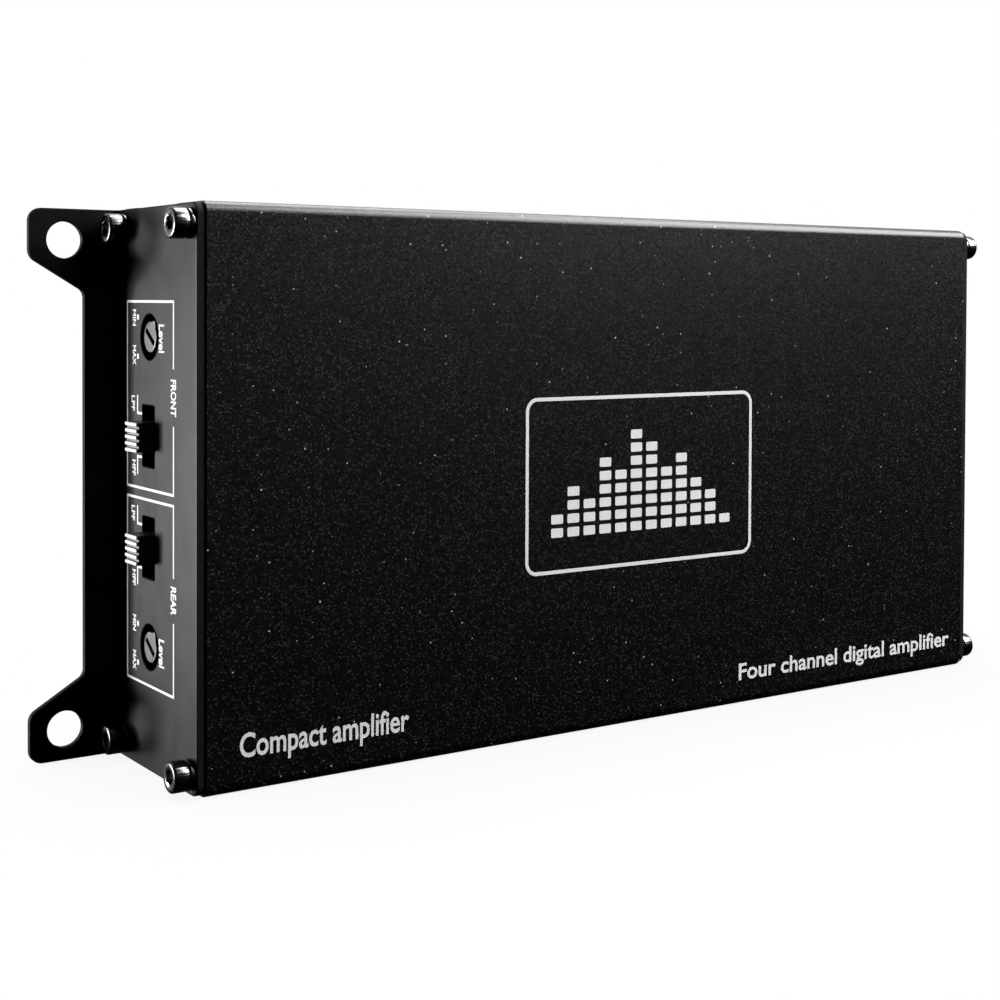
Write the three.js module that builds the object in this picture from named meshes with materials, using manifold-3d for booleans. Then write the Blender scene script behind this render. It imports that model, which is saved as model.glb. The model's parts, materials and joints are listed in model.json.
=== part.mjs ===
// A compact four-channel car amplifier: an extruded aluminium housing closed at each end by a bent
// steel panel with mounting ears, the controls at one end, the connectors at the other, and the
// electronics on one board between them.
//
// Frame, in millimetres: X runs along the extrusion, from the control end (-X) to the connector end
// (+X). Y runs from the printed face (-Y) to the mounting plane (+Y). Z is up: the amplifier stands
// on one long narrow side, at Z = 0.

import * as THREE from "three";
import { mergeVertices } from "three/addons/utils/BufferGeometryUtils.js";
import Module from "manifold-3d";

const wasm = await Module();
wasm.setup();

// ------------------------------------------------------------------ driving dimensions

const BODY_LENGTH = 199; // extrusion, along X
const BODY_WIDTH = 106; // extrusion, along Z
const OVERALL_DEPTH = 39; // printed face to mounting plane, along Y
const OVERALL_LENGTH = 237; // ear tip to ear tip

const SHEET = 1.5; // steel of the end panels
const WALL = 2.2; // aluminium of the housing
const SEAM = 0.1; // between the extrusion's end and a panel
const TOUCH = 0.05; // air left between pieces that rest on each other
const RUNNING = 0.25; // between a moving piece and what it moves in

const END_X = -BODY_LENGTH / 2; // the extrusion's end at the control end
const PANEL_IN = END_X - SEAM;
const PANEL_OUT = PANEL_IN - SHEET;
const FACE_Y = -OVERALL_DEPTH / 2;
const MOUNT_Y = OVERALL_DEPTH / 2;
const MID_Z = BODY_WIDTH / 2;

// Housing section
const LIFT = 0.6; // the housing's back stands this far off the mounting plane
const BACK_Y = MOUNT_Y - LIFT;
const FACE_RADIUS = 2.0; // long edges of the printed face
const BACK_RADIUS = 1.0;
const SIDE_RECESS = 0.4; // shallow channel along each narrow side
const FACE_LAND = 12.7; // width of the raised land beside the printed face
const BACK_LAND = 6.9; // and of the one beside the mounting plane
const CAVITY_FRONT = FACE_Y + WALL;
const CAVITY_BACK = BACK_Y - WALL;
const CAVITY_LOW = WALL + SIDE_RECESS;
const CAVITY_HIGH = BODY_WIDTH - CAVITY_LOW;

// Circuit board, slid into a groove of each narrow side
const BOARD = 1.6;
const CONTROL_HEIGHT = 6.5; // shaft centre line above the board
const CONTROL_Y = 2.25; // shaft centre line
const BOARD_FRONT = CONTROL_Y + CONTROL_HEIGHT;
const BOARD_BACK = BOARD_FRONT + BOARD;
const BOARD_END_GAP = 0.6;
const GROOVE_GAP = 0.2;
const RAIL = 1.2; // thickness of a rail beside the board
const RAIL_REACH = 2.2; // how far a rail stands out of the wall

// Panel screws, M3 socket head cap, in the four extruded channels
const SCREW_FROM_FACE = 3.4;
const SCREW_FROM_SIDE = 4.0;
const SCREW_PITCH_Y = 30.4;
const SCREW_YS = [FACE_Y + SCREW_FROM_FACE, FACE_Y + SCREW_FROM_FACE + SCREW_PITCH_Y];
const SCREW_ZS = [SCREW_FROM_SIDE, BODY_WIDTH - SCREW_FROM_SIDE];
const SHANK_RADIUS = 1.5;
const SHANK_LENGTH = 10;
const CHANNEL_RADIUS = 1.85;
const BOSS_RADIUS = 3.2;
const HEAD_RADIUS = 2.84;
const HEAD_HEIGHT = 3.0;
const SOCKET_ACROSS_FLATS = 2.5;
const SOCKET_DEPTH = 1.6;
const WASHER_RADIUS = 2.84;
const WASHER = 0.9;

// End panels: outline of the flange and its ears
const PANEL_INSET = 0.3; // the sheet stops this far inside the extrusion's narrow sides
const BEND_RADIUS = 1.0; // inside the bend
const CORNER_RADIUS = 2.2; // panel corners beside the printed face
const EAR_TIP = -OVERALL_LENGTH / 2;
const WEB_EDGE = END_X - 8.2; // flange edge between the ears
const EAR_SHOULDER = 9.6; // from the narrow side to where the ear's sloping edge starts
const EAR_ROOT = 16.1; // and to where it meets the flange edge
const EAR_CORNER_RADIUS = 2.5;
const EAR_ROOT_RADIUS = 2.0;
const EAR_HOLE_RADIUS = 3.5;
const EAR_HOLE_X = END_X - 12.1;
const EAR_HOLE_INSET = 6.25;

// Controls, mirrored about a line just below the middle
const CONTROL_MID_Z = MID_Z - 0.5;
const LEVEL_OFFSET = 29.0;
const FILTER_OFFSET = 10.45;

const LEVEL_HOLE_RADIUS = 4.3;
const SHAFT_RADIUS = 2.9;
const SHAFT_RECESS = 0.15; // shaft end below the panel's outer surface
const SHAFT_END = -94;
const POINTER_RADIUS = 3.75;
const POINTER_THICKNESS = 0.8;
const POINTER_DEG = 35; // clockwise from +Z, seen from outside
const DRIVER_SLOT = { length: 4.8, width: 0.9, depth: 1.0 };
const POT = { depth: 6.6, width: 9.6, top: 5.4 };
const CONTROL_FRONT = END_X + 0.8; // front of the pots and switches, just inside the housing

const FILTER_Y = 2.75;
const FILTER_SLOT = { length: 11.55, width: 5.9 };
const KNOB = { length: 5.5, width: 5.5, reach: 3.5, inner: -96.9 };
const KNOB_RIBS = 5;
const RIB_HEIGHT = 0.5;
const RIB_SHARE = 0.55; // of the pitch
const SWITCH = { depth: 6.2, length: 17, top: 4.0 };
const SWITCH_TRACK = { length: 12.4, depth: 2.6 };

// Connectors, in the turned frame of the connector end
const RCA_COUNT = 4;
const RCA_PITCH = 13;
const RCA_FIRST_Z = 15.5;
const RCA_BLOCK = { depth: 14, margin: 6.2, top: 6.0 };
const RCA_SLEEVE = { outer: 4.15, inner: 3.3, length: 9.8 };
const RCA_CORE = { hole: 1.7, recess: 0.8 };
const RCA_HOLE_RADIUS = 5.0;
const HEADER_DEPTH = 15;
const HEADER_WALL = 1.5;
const HEADER_CAVITY_DEPTH = 9;
const HEADER_PROUD = 0.6; // beyond the panel's outer surface
const HEADER_Z = [74, 98];
const SPEAKER_HEADER_Y = [-3.4, 8.6];
const POWER_HEADER_Y = [-15.6, -3.8];
const FUSE = { y: -1.9, z: 66.5, width: 19, thickness: 5.2, proud: 5.0, depth: 12 };
const FUSE_HOLDER = { front: -12.9, thickness: 8.6, depth: 13 };
const LED = { y: -10, z: 35, radius: 1.5, proud: 0.7, length: 6, collar: 1.9 };
const CUTOUT_GAP = 0.4;

// Electronics on the board, which lies parallel to the mounting plane
const TOROID = { x: 30, z: 40, outer: 17, inner: 7, height: 13, corner: 3 };
const CAPACITOR = { radius: 6.3, height: 20 };
const CAPACITOR_PLACES = [
  [60, 32],
  [60, 48],
  [2, 82],
  [2, 66],
];
const INDUCTOR = { side: 12.5, height: 10, corner: 2, x: -38 };
const INDUCTOR_ZS = [26, 43, 60, 77];

// Power packages, which stand along the wall at Z = 0, over one heat pad and under one clamp bar
const PAD = { thickness: 0.5, y: [-13, 6] };
const PAD_LOW = CAVITY_LOW + TOUCH;
const PACKAGE_LOW = PAD_LOW + PAD.thickness + TOUCH;
const PACKAGE = { thickness: 4.4, top: -12, bottom: 4 };
const LEADS = { thickness: 0.6, offset: 2.6, inset: 2 };
const PACKAGES = [
  { name: "front_amplifier_chip", x: -41, width: 20 },
  { name: "rear_amplifier_chip", x: -13, width: 20 },
  { name: "supply_transistor_1", x: 30, width: 15 },
  { name: "supply_transistor_2", x: 63, width: 15 },
];
const BAR = { x: [-52, 72], y: [-7, 1], thickness: 2 };
const BAR_LOW = PACKAGE_LOW + PACKAGE.thickness + TOUCH;
const CLAMP_SCREW_XS = [-27, 47];
const CLAMP_SCREW_Y = -3;
const CLAMP_SCREW_HEAD = { radius: 2.8, height: 2 };
const CLAMP_HOLE_FLOOR = 0.9; // wall left below the blind holes that the clamp screws bite into

// ------------------------------------------------------------------ solids

// A closed three.js geometry as a manifold solid.
function solid(geometry) {
  const bare = geometry.clone();
  bare.deleteAttribute("normal");
  bare.deleteAttribute("uv");
  const merged = mergeVertices(bare, 1e-4);
  return new wasm.Manifold(
    new wasm.Mesh({
      numProp: 3,
      vertProperties: merged.attributes.position.array,
      triVerts: new Uint32Array(merged.index.array),
    }),
  );
}

// A manifold solid as a three.js geometry.
function geometryOf(manifold) {
  const mesh = manifold.getMesh();
  const geometry = new THREE.BufferGeometry();
  geometry.setAttribute("position", new THREE.BufferAttribute(mesh.vertProperties, mesh.numProp));
  geometry.setIndex(new THREE.BufferAttribute(mesh.triVerts, 1));
  const flat = geometry.toNonIndexed();
  flat.computeVertexNormals();
  return flat;
}

// Joins a list of geometries and takes another list away.
function build(parts, cuts = []) {
  const joined = parts.map(solid).reduce((sum, part) => sum.add(part));
  return geometryOf(cuts.map(solid).reduce((rest, cut) => rest.subtract(cut), joined));
}

function block([x0, x1], [y0, y1], [z0, z1]) {
  const geometry = new THREE.BoxGeometry(x1 - x0, y1 - y0, z1 - z0);
  return geometry.translate((x0 + x1) / 2, (y0 + y1) / 2, (z0 + z1) / 2);
}

// A round bar along X, from x0 to x1.
function rodX([x0, x1], y, z, radius, sides = 24) {
  const geometry = new THREE.CylinderGeometry(radius, radius, x1 - x0, sides);
  return geometry.rotateZ(Math.PI / 2).translate((x0 + x1) / 2, y, z);
}

// A round bar along Y, from y0 to y1.
function rodY(x, [y0, y1], z, radius, sides = 24) {
  const geometry = new THREE.CylinderGeometry(radius, radius, y1 - y0, sides);
  return geometry.translate(x, (y0 + y1) / 2, z);
}

// A round bar along Z, from z0 to z1.
function rodZ(x, y, [z0, z1], radius, sides = 24) {
  const geometry = new THREE.CylinderGeometry(radius, radius, z1 - z0, sides);
  return geometry.rotateX(Math.PI / 2).translate(x, y, (z0 + z1) / 2);
}

// A closed outline whose corners, each [a, b, radius], are rounded by true arcs.
function outline(corners) {
  const shape = new THREE.Shape();
  corners.forEach(([a, b, radius], i) => {
    const corner = new THREE.Vector2(a, b);
    if (!radius) {
      if (i) shape.lineTo(a, b);
      else shape.moveTo(a, b);
      return;
    }
    const [beforeA, beforeB] = corners.at(i - 1);
    const [afterA, afterB] = corners[(i + 1) % corners.length];
    const before = new THREE.Vector2(beforeA, beforeB).sub(corner).normalize();
    const after = new THREE.Vector2(afterA, afterB).sub(corner).normalize();
    const half = before.angleTo(after) / 2;
    const bisector = before.clone().add(after).normalize();
    const centre = corner.clone().addScaledVector(bisector, radius / Math.sin(half));
    const from = corner.clone().addScaledVector(before, radius / Math.tan(half));
    const to = corner.clone().addScaledVector(after, radius / Math.tan(half));
    const start = from.clone().sub(centre).angle();
    const end = to.clone().sub(centre).angle();
    if (i) shape.lineTo(from.x, from.y);
    else shape.moveTo(from.x, from.y);
    shape.absarc(centre.x, centre.y, radius, start, end, before.cross(after) > 0);
  });
  shape.closePath();
  return shape;
}

// Turns an extrusion so that its outline's two axes and its depth lie along the given ones.
function turned(shape, depth, a, b, along, offset) {
  const geometry = new THREE.ExtrudeGeometry(shape, {
    depth,
    bevelEnabled: false,
    curveSegments: 3,
  });
  const turn = new THREE.Matrix4().makeBasis(a, b, along).setPosition(offset);
  return geometry.applyMatrix4(turn);
}

const X = new THREE.Vector3(1, 0, 0);
const Y = new THREE.Vector3(0, 1, 0);
const Z = new THREE.Vector3(0, 0, 1);

// An outline in Y and Z, extruded along X.
function prismX(shape, [x0, x1]) {
  return turned(shape, x1 - x0, Y, Z, X, new THREE.Vector3(x0, 0, 0));
}

// An outline in X and Z, extruded along Y.
function prismY(shape, [y0, y1]) {
  return turned(shape, y1 - y0, X, Z, Y.clone().negate(), new THREE.Vector3(0, y1, 0));
}

// An outline in X and Y, extruded along Z.
function prismZ(shape, [z0, z1]) {
  return turned(shape, z1 - z0, X, Y, Z, new THREE.Vector3(0, 0, z0));
}

// Both narrow sides have the same features: a range above Z = 0 and its mirror image.
function mirroredZ([z0, z1]) {
  return [
    [z0, z1],
    [BODY_WIDTH - z1, BODY_WIDTH - z0],
  ];
}

// ------------------------------------------------------------------ materials

function material(color, roughness, metalness) {
  return new THREE.MeshStandardMaterial({ color, roughness, metalness });
}

const blackCoat = () => material(0x151517, 0.62, 0.2);
const greyCoat = () => material(0x58585a, 0.5, 0.3);
const blackSteel = () => material(0x1c1c1e, 0.3, 0.9);
const nickel = () => material(0xb8b6b0, 0.25, 1.0);
const blackPlastic = () => material(0x111112, 0.45, 0.0);
const greyPlastic = () => material(0x8b8b8d, 0.5, 0.0);
const redPlastic = () => material(0x9c1d1a, 0.4, 0.0);
const whitePlastic = () => material(0xd9d8d2, 0.4, 0.0);
const amberPlastic = () => material(0xc9821e, 0.3, 0.0);
const blueLens = () => material(0x3a6fd0, 0.2, 0.0);
const boardGreen = () => material(0x17492b, 0.5, 0.0);
const copperWinding = () => material(0xa8552a, 0.35, 0.8);
const greyPad = () => material(0x77787c, 0.8, 0.0);
const rawAluminium = () => material(0xa9abad, 0.4, 1.0);

// ------------------------------------------------------------------ housing

function housingSection() {
  const recessFront = FACE_Y + FACE_LAND;
  const recessBack = BACK_Y - BACK_LAND;
  const low = SIDE_RECESS;
  const high = BODY_WIDTH - SIDE_RECESS;
  return outline([
    [FACE_Y, 0, FACE_RADIUS],
    [recessFront, 0, 0],
    [recessFront + low, low, 0],
    [recessBack - low, low, 0],
    [recessBack, 0, 0],
    [BACK_Y, 0, BACK_RADIUS],
    [BACK_Y, BODY_WIDTH, BACK_RADIUS],
    [recessBack, BODY_WIDTH, 0],
    [recessBack - low, high, 0],
    [recessFront + low, high, 0],
    [recessFront, BODY_WIDTH, 0],
    [FACE_Y, BODY_WIDTH, FACE_RADIUS],
  ]);
}

// The rails of one narrow side, with the board's groove between them. They run a little into the
// wall so that they join it.
function boardRails() {
  const inWall = 0.5;
  const front = BOARD_FRONT - GROOVE_GAP;
  const back = BOARD_BACK + GROOVE_GAP;
  const reaches = mirroredZ([CAVITY_LOW - inWall, CAVITY_LOW + RAIL_REACH]);
  return reaches.flatMap((reach) => [
    block([END_X, -END_X], [front - RAIL, front], reach),
    block([END_X, -END_X], [back, back + RAIL], reach),
  ]);
}

// Holes along Z for the two clamp screws.
function clampScrewHoles([z0, z1]) {
  return CLAMP_SCREW_XS.map((x) => rodZ(x, CLAMP_SCREW_Y, [z0, z1], CHANNEL_RADIUS, 12));
}

function extrudedHousing() {
  const ends = [END_X, -END_X];
  const past = [END_X - 1, -END_X + 1];
  const cavity = block(past, [CAVITY_FRONT, CAVITY_BACK], [CAVITY_LOW, CAVITY_HIGH]);
  const channels = SCREW_YS.flatMap((y) => SCREW_ZS.map((z) => ({ y, z })));
  const bosses = channels.map(({ y, z }) => rodX(ends, y, z, BOSS_RADIUS, 20));
  const shell = build([prismX(housingSection(), ends)], [cavity]);
  return build(
    [shell, ...bosses, ...boardRails()],
    [
      ...channels.map(({ y, z }) => rodX(past, y, z, CHANNEL_RADIUS, 16)),
      ...clampScrewHoles([CLAMP_HOLE_FLOOR, CAVITY_LOW + 1]),
    ],
  );
}

// ------------------------------------------------------------------ end panels

// The bent sheet seen along Z: panel, bend and flange.
function sheetSection() {
  const outerBend = BEND_RADIUS + SHEET;
  return outline([
    [PANEL_IN, FACE_Y, 0],
    [PANEL_IN, MOUNT_Y, outerBend],
    [EAR_TIP - 1, MOUNT_Y, 0],
    [EAR_TIP - 1, MOUNT_Y - SHEET, 0],
    [PANEL_OUT, MOUNT_Y - SHEET, BEND_RADIUS],
    [PANEL_OUT, FACE_Y, 0],
  ].reverse());
}

// The sheet seen along Y: the flange's edge steps out into an ear at the top and the bottom.
function flangeOutline() {
  const low = PANEL_INSET;
  const high = BODY_WIDTH - PANEL_INSET;
  return outline([
    [PANEL_IN + 1, low, 0],
    [PANEL_IN + 1, high, 0],
    [EAR_TIP, high, EAR_CORNER_RADIUS],
    [EAR_TIP, BODY_WIDTH - EAR_SHOULDER, EAR_CORNER_RADIUS],
    [WEB_EDGE, BODY_WIDTH - EAR_ROOT, EAR_ROOT_RADIUS],
    [WEB_EDGE, EAR_ROOT, EAR_ROOT_RADIUS],
    [EAR_TIP, EAR_SHOULDER, EAR_CORNER_RADIUS],
    [EAR_TIP, low, EAR_CORNER_RADIUS],
  ]);
}

// The sheet seen along X: square at the flange, rounded beside the printed face.
function panelOutline() {
  const low = PANEL_INSET;
  const high = BODY_WIDTH - PANEL_INSET;
  return outline([
    [FACE_Y + PANEL_INSET, low, CORNER_RADIUS],
    [MOUNT_Y + 1, low, 0],
    [MOUNT_Y + 1, high, 0],
    [FACE_Y + PANEL_INSET, high, CORNER_RADIUS],
  ]);
}

// One bent sheet with its ear holes, its screw holes and the given cut-outs.
function endPanel(cutouts) {
  const reach = [EAR_TIP - 2, PANEL_IN + 2];
  const through = [PANEL_OUT - 1, PANEL_IN + 1];
  const height = [0, BODY_WIDTH];
  const sheet = solid(prismZ(sheetSection(), height))
    .intersect(solid(prismY(flangeOutline(), [FACE_Y - 1, MOUNT_Y + 1])))
    .intersect(solid(prismX(panelOutline(), reach)));
  const earHoles = [EAR_HOLE_INSET, BODY_WIDTH - EAR_HOLE_INSET].map((z) =>
    rodY(EAR_HOLE_X, [MOUNT_Y - 2 * SHEET, MOUNT_Y + SHEET], z, EAR_HOLE_RADIUS, 32),
  );
  const screwHoles = SCREW_YS.flatMap((y) =>
    SCREW_ZS.map((z) => rodX(through, y, z, CHANNEL_RADIUS, 16)),
  );
  return build([geometryOf(sheet)], [...earHoles, ...screwHoles, ...cutouts]);
}

function controlCutouts() {
  const through = [PANEL_OUT - 1, PANEL_IN + 1];
  const halfWidth = FILTER_SLOT.width / 2;
  const halfLength = FILTER_SLOT.length / 2;
  return [1, -1].flatMap((side) => {
    const levelZ = CONTROL_MID_Z + side * LEVEL_OFFSET;
    const filterZ = CONTROL_MID_Z + side * FILTER_OFFSET;
    return [
      rodX(through, CONTROL_Y, levelZ, LEVEL_HOLE_RADIUS, 40),
      block(
        through,
        [FILTER_Y - halfWidth, FILTER_Y + halfWidth],
        [filterZ - halfLength, filterZ + halfLength],
      ),
    ];
  });
}

function rcaPlaces() {
  return Array.from({ length: RCA_COUNT }, (_, i) => RCA_FIRST_Z + i * RCA_PITCH);
}

// The range of the given size about a middle.
function around(middle, size) {
  return [middle - size / 2, middle + size / 2];
}

function connectorCutouts() {
  const through = [PANEL_OUT - 1, PANEL_IN + 1];
  const wider = ([low, high]) => [low - CUTOUT_GAP, high + CUTOUT_GAP];
  return [
    ...rcaPlaces().map((z) => rodX(through, CONTROL_Y, z, RCA_HOLE_RADIUS, 28)),
    block(through, wider([POWER_HEADER_Y[0], SPEAKER_HEADER_Y[1]]), wider(HEADER_Z)),
    block(through, wider(around(FUSE.y, FUSE.width)), wider(around(FUSE.z, FUSE.thickness))),
    rodX(through, LED.y, LED.z, LED.radius + CUTOUT_GAP, 16),
  ];
}

// ------------------------------------------------------------------ panel screws and washers

// A socket head cap screw about its own axis: the head reaches towards -X, the shank towards +X, and
// the head's underside is at X = 0.
function capScrew() {
  const hexRadius = SOCKET_ACROSS_FLATS / Math.sqrt(3);
  return build(
    [
      rodX([-HEAD_HEIGHT, 0], 0, 0, HEAD_RADIUS, 24),
      rodX([-SOCKET_DEPTH / 2, SHANK_LENGTH], 0, 0, SHANK_RADIUS, 12),
    ],
    [rodX([-HEAD_HEIGHT - 1, -HEAD_HEIGHT + SOCKET_DEPTH], 0, 0, hexRadius, 6)],
  );
}

function lockWasher() {
  return build(
    [rodX([0, WASHER], 0, 0, WASHER_RADIUS, 24)],
    [rodX([-1, WASHER + 1], 0, 0, CHANNEL_RADIUS, 16)],
  );
}

// ------------------------------------------------------------------ controls

function levelPot() {
  const front = CONTROL_FRONT;
  const back = front + POT.depth;
  return build(
    [block([front, back], [CONTROL_Y - POT.top, BOARD_FRONT - TOUCH], [-POT.width / 2, POT.width / 2])],
    [rodX([front - 1, SHAFT_END + RUNNING], CONTROL_Y, 0, SHAFT_RADIUS + RUNNING, 32)],
  );
}

// The shaft about its own axis. A pointer stands out of its outer end, square to the driver slot.
function levelShaft() {
  const outer = PANEL_OUT + SHAFT_RECESS;
  const towards = THREE.MathUtils.degToRad(POINTER_DEG);
  const along = (radius, turn) => [
    -Math.sin(towards + turn) * radius,
    Math.cos(towards + turn) * radius,
    0,
  ];
  const spread = Math.PI / 5;
  const pointer = outline([
    [0, 0, 0],
    along(SHAFT_RADIUS, spread),
    along(POINTER_RADIUS, 0),
    along(SHAFT_RADIUS, -spread),
  ].reverse());
  const slot = block(
    [outer - 1, outer + DRIVER_SLOT.depth],
    [-DRIVER_SLOT.length / 2, DRIVER_SLOT.length / 2],
    [-DRIVER_SLOT.width / 2, DRIVER_SLOT.width / 2],
  ).rotateX(towards);
  return build(
    [
      rodX([outer, SHAFT_END], 0, 0, SHAFT_RADIUS, 32),
      prismX(pointer, [outer, outer + POINTER_THICKNESS]),
    ],
    [slot],
  );
}

function filterSwitch() {
  const front = CONTROL_FRONT;
  const track = KNOB.width / 2 + RUNNING;
  return build(
    [
      block(
        [front, front + SWITCH.depth],
        [FILTER_Y - SWITCH.top, BOARD_FRONT - TOUCH],
        [-SWITCH.length / 2, SWITCH.length / 2],
      ),
    ],
    [
      block(
        [front - 1, front + SWITCH_TRACK.depth],
        [FILTER_Y - track, FILTER_Y + track],
        [-SWITCH_TRACK.length / 2, SWITCH_TRACK.length / 2],
      ),
    ],
  );
}

// The knob's outer end carries ribs across its travel, for a fingertip.
function filterKnob() {
  const tip = PANEL_OUT - KNOB.reach;
  const half = KNOB.length / 2;
  const pitch = KNOB.length / (KNOB_RIBS - 1 + RIB_SHARE);
  const rib = pitch * RIB_SHARE;
  const corners = [
    [KNOB.inner, half, 0],
    [KNOB.inner, -half, 0],
  ];
  for (let i = 0; i < KNOB_RIBS; i += 1) {
    const low = -half + i * pitch;
    corners.push([tip, low, 0], [tip, low + rib, 0]);
    if (i < KNOB_RIBS - 1) {
      corners.push([tip + RIB_HEIGHT, low + rib, 0], [tip + RIB_HEIGHT, low + pitch, 0]);
    }
  }
  const width = [FILTER_Y - KNOB.width / 2, FILTER_Y + KNOB.width / 2];
  return prismY(outline(corners.reverse()), width);
}

// ------------------------------------------------------------------ connectors

function rcaBlock() {
  const front = CONTROL_FRONT;
  const places = rcaPlaces();
  return block(
    [front, front + RCA_BLOCK.depth],
    [CONTROL_Y - RCA_BLOCK.top, BOARD_FRONT - TOUCH],
    [places[0] - RCA_BLOCK.margin, places.at(-1) + RCA_BLOCK.margin],
  );
}

function rcaSleeve() {
  const back = CONTROL_FRONT - TOUCH;
  const ends = [back - RCA_SLEEVE.length, back];
  const bore = [ends[0] - 1, ends[1] + 1];
  return build(
    [rodX(ends, 0, 0, RCA_SLEEVE.outer, 28)],
    [rodX(bore, 0, 0, RCA_SLEEVE.inner, 28)],
  );
}

function rcaCore() {
  const back = CONTROL_FRONT - TOUCH;
  const front = back - RCA_SLEEVE.length + RCA_CORE.recess;
  return build(
    [rodX([front, back], 0, 0, RCA_SLEEVE.inner - RUNNING, 24)],
    [rodX([front - 1, back - 1], 0, 0, RCA_CORE.hole, 16)],
  );
}

// A shrouded pin header, open towards the mating plug.
function shroudedHeader([y0, y1]) {
  const front = PANEL_OUT - HEADER_PROUD;
  const [z0, z1] = HEADER_Z;
  return build(
    [block([front, front + HEADER_DEPTH], [y0, y1], HEADER_Z)],
    [
      block(
        [front - 1, front + HEADER_CAVITY_DEPTH],
        [y0 + HEADER_WALL, y1 - HEADER_WALL],
        [z0 + HEADER_WALL, z1 - HEADER_WALL],
      ),
    ],
  );
}

// A plug-in fuse: its body, and the two blades on its inner end.
function bladeFuse() {
  const front = PANEL_OUT - FUSE.proud;
  const back = front + FUSE.depth;
  const blade = { width: 5.2, thickness: 0.7, length: 6, offset: 6.4 };
  const blades = [-blade.offset, blade.offset].map((dy) =>
    block(
      [back - 1, back + blade.length],
      around(FUSE.y + dy, blade.width),
      around(FUSE.z, blade.thickness),
    ),
  );
  const body = block([front, back], around(FUSE.y, FUSE.width), around(FUSE.z, FUSE.thickness));
  return build([body, ...blades]);
}

function fuseHolder() {
  const front = CONTROL_FRONT;
  const pocket = [front - 1, front + FUSE_HOLDER.depth - 1];
  return build(
    [
      block(
        [front, front + FUSE_HOLDER.depth],
        [FUSE_HOLDER.front, BOARD_FRONT - TOUCH],
        around(FUSE.z, FUSE_HOLDER.thickness),
      ),
    ],
    [block(pocket, around(FUSE.y, FUSE.width + 1), around(FUSE.z, FUSE.thickness + 1))],
  );
}

function powerLed() {
  const tip = PANEL_OUT - LED.proud;
  const back = tip + LED.length;
  const collarStart = back - 1;
  return build([
    rodX([tip, back], LED.y, LED.z, LED.radius, 16),
    rodX([collarStart, back], LED.y, LED.z, LED.collar, 16),
  ]);
}

// ------------------------------------------------------------------ board and electronics

function circuitBoard() {
  const ends = [END_X + BOARD_END_GAP, -END_X - BOARD_END_GAP];
  const edge = CAVITY_LOW + GROOVE_GAP;
  return block(ends, [BOARD_FRONT, BOARD_BACK], [edge, BODY_WIDTH - edge]);
}

// A ring lying on the board, with a rounded section.
function supplyToroid() {
  const { outer, inner, height, corner } = TOROID;
  const section = outline([
    [inner, 0, corner],
    [outer, 0, corner],
    [outer, height, corner],
    [inner, height, corner],
  ]).getPoints(1);
  section.push(section[0].clone());
  const ring = new THREE.LatheGeometry(section, 24);
  return ring.translate(TOROID.x, BOARD_FRONT - TOUCH - height, TOROID.z);
}

function capacitor() {
  const top = BOARD_FRONT - TOUCH - CAPACITOR.height;
  return rodY(0, [top, BOARD_FRONT - TOUCH], 0, CAPACITOR.radius, 20);
}

function outputInductor() {
  const half = INDUCTOR.side / 2;
  const shape = outline([
    [-half, -half, INDUCTOR.corner],
    [half, -half, INDUCTOR.corner],
    [half, half, INDUCTOR.corner],
    [-half, half, INDUCTOR.corner],
  ]);
  const base = BOARD_FRONT - TOUCH;
  return prismY(shape, [base - INDUCTOR.height, base]);
}

// One power package with its row of leads bent down to the board.
function powerPackage({ x, width }) {
  const leadsLow = PACKAGE_LOW + LEADS.offset;
  return build([
    block(
      [x - width / 2, x + width / 2],
      [PACKAGE.top, PACKAGE.bottom],
      [PACKAGE_LOW, PACKAGE_LOW + PACKAGE.thickness],
    ),
    block(
      [x - width / 2 + LEADS.inset, x + width / 2 - LEADS.inset],
      [PACKAGE.bottom - 1, BOARD_FRONT - TOUCH],
      [leadsLow, leadsLow + LEADS.thickness],
    ),
  ]);
}

function heatPad() {
  const pad = block([BAR.x[0], BAR.x[1]], PAD.y, [PAD_LOW, PAD_LOW + PAD.thickness]);
  return build([pad], clampScrewHoles([PAD_LOW - 1, PAD_LOW + PAD.thickness + 1]));
}

function clampBar() {
  const bar = block(BAR.x, BAR.y, [BAR_LOW, BAR_LOW + BAR.thickness]);
  return build([bar], clampScrewHoles([BAR_LOW - 1, BAR_LOW + BAR.thickness + 1]));
}

// A pan-headed screw through the bar and the pad into the housing's wall.
function clampScrew() {
  const seat = BAR_LOW + BAR.thickness + TOUCH;
  const { radius, height } = CLAMP_SCREW_HEAD;
  return build([
    rodZ(0, 0, [seat, seat + height], radius, 16),
    rodZ(0, 0, [CLAMP_HOLE_FLOOR + RUNNING, seat + height / 2], SHANK_RADIUS, 12),
  ]);
}

// ------------------------------------------------------------------ assembly

const group = new THREE.Group();

function add(name, geometry, look, parent = group, place = [0, 0, 0]) {
  const mesh = new THREE.Mesh(geometry, look);
  mesh.name = name;
  mesh.position.set(...place);
  parent.add(mesh);
}

// The connector end is the control end turned half a turn about Y.
const connectorEnd = new THREE.Group();
connectorEnd.rotation.y = Math.PI;
connectorEnd.position.z = BODY_WIDTH;
group.add(connectorEnd);

add("extruded_housing", extrudedHousing(), blackCoat());
add("control_end_panel", endPanel(controlCutouts()), greyCoat());
add("connector_end_panel", endPanel(connectorCutouts()), greyCoat(), connectorEnd);

function addPanelScrews(end, parent) {
  let number = 0;
  for (const y of SCREW_YS) {
    for (const z of SCREW_ZS) {
      number += 1;
      const washerX = PANEL_OUT - TOUCH - WASHER;
      add(`${end}_screw_${number}`, capScrew(), blackSteel(), parent, [washerX - TOUCH, y, z]);
      add(`${end}_washer_${number}`, lockWasher(), blackSteel(), parent, [washerX, y, z]);
    }
  }
}
addPanelScrews("control_end", group);
addPanelScrews("connector_end", connectorEnd);

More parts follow.
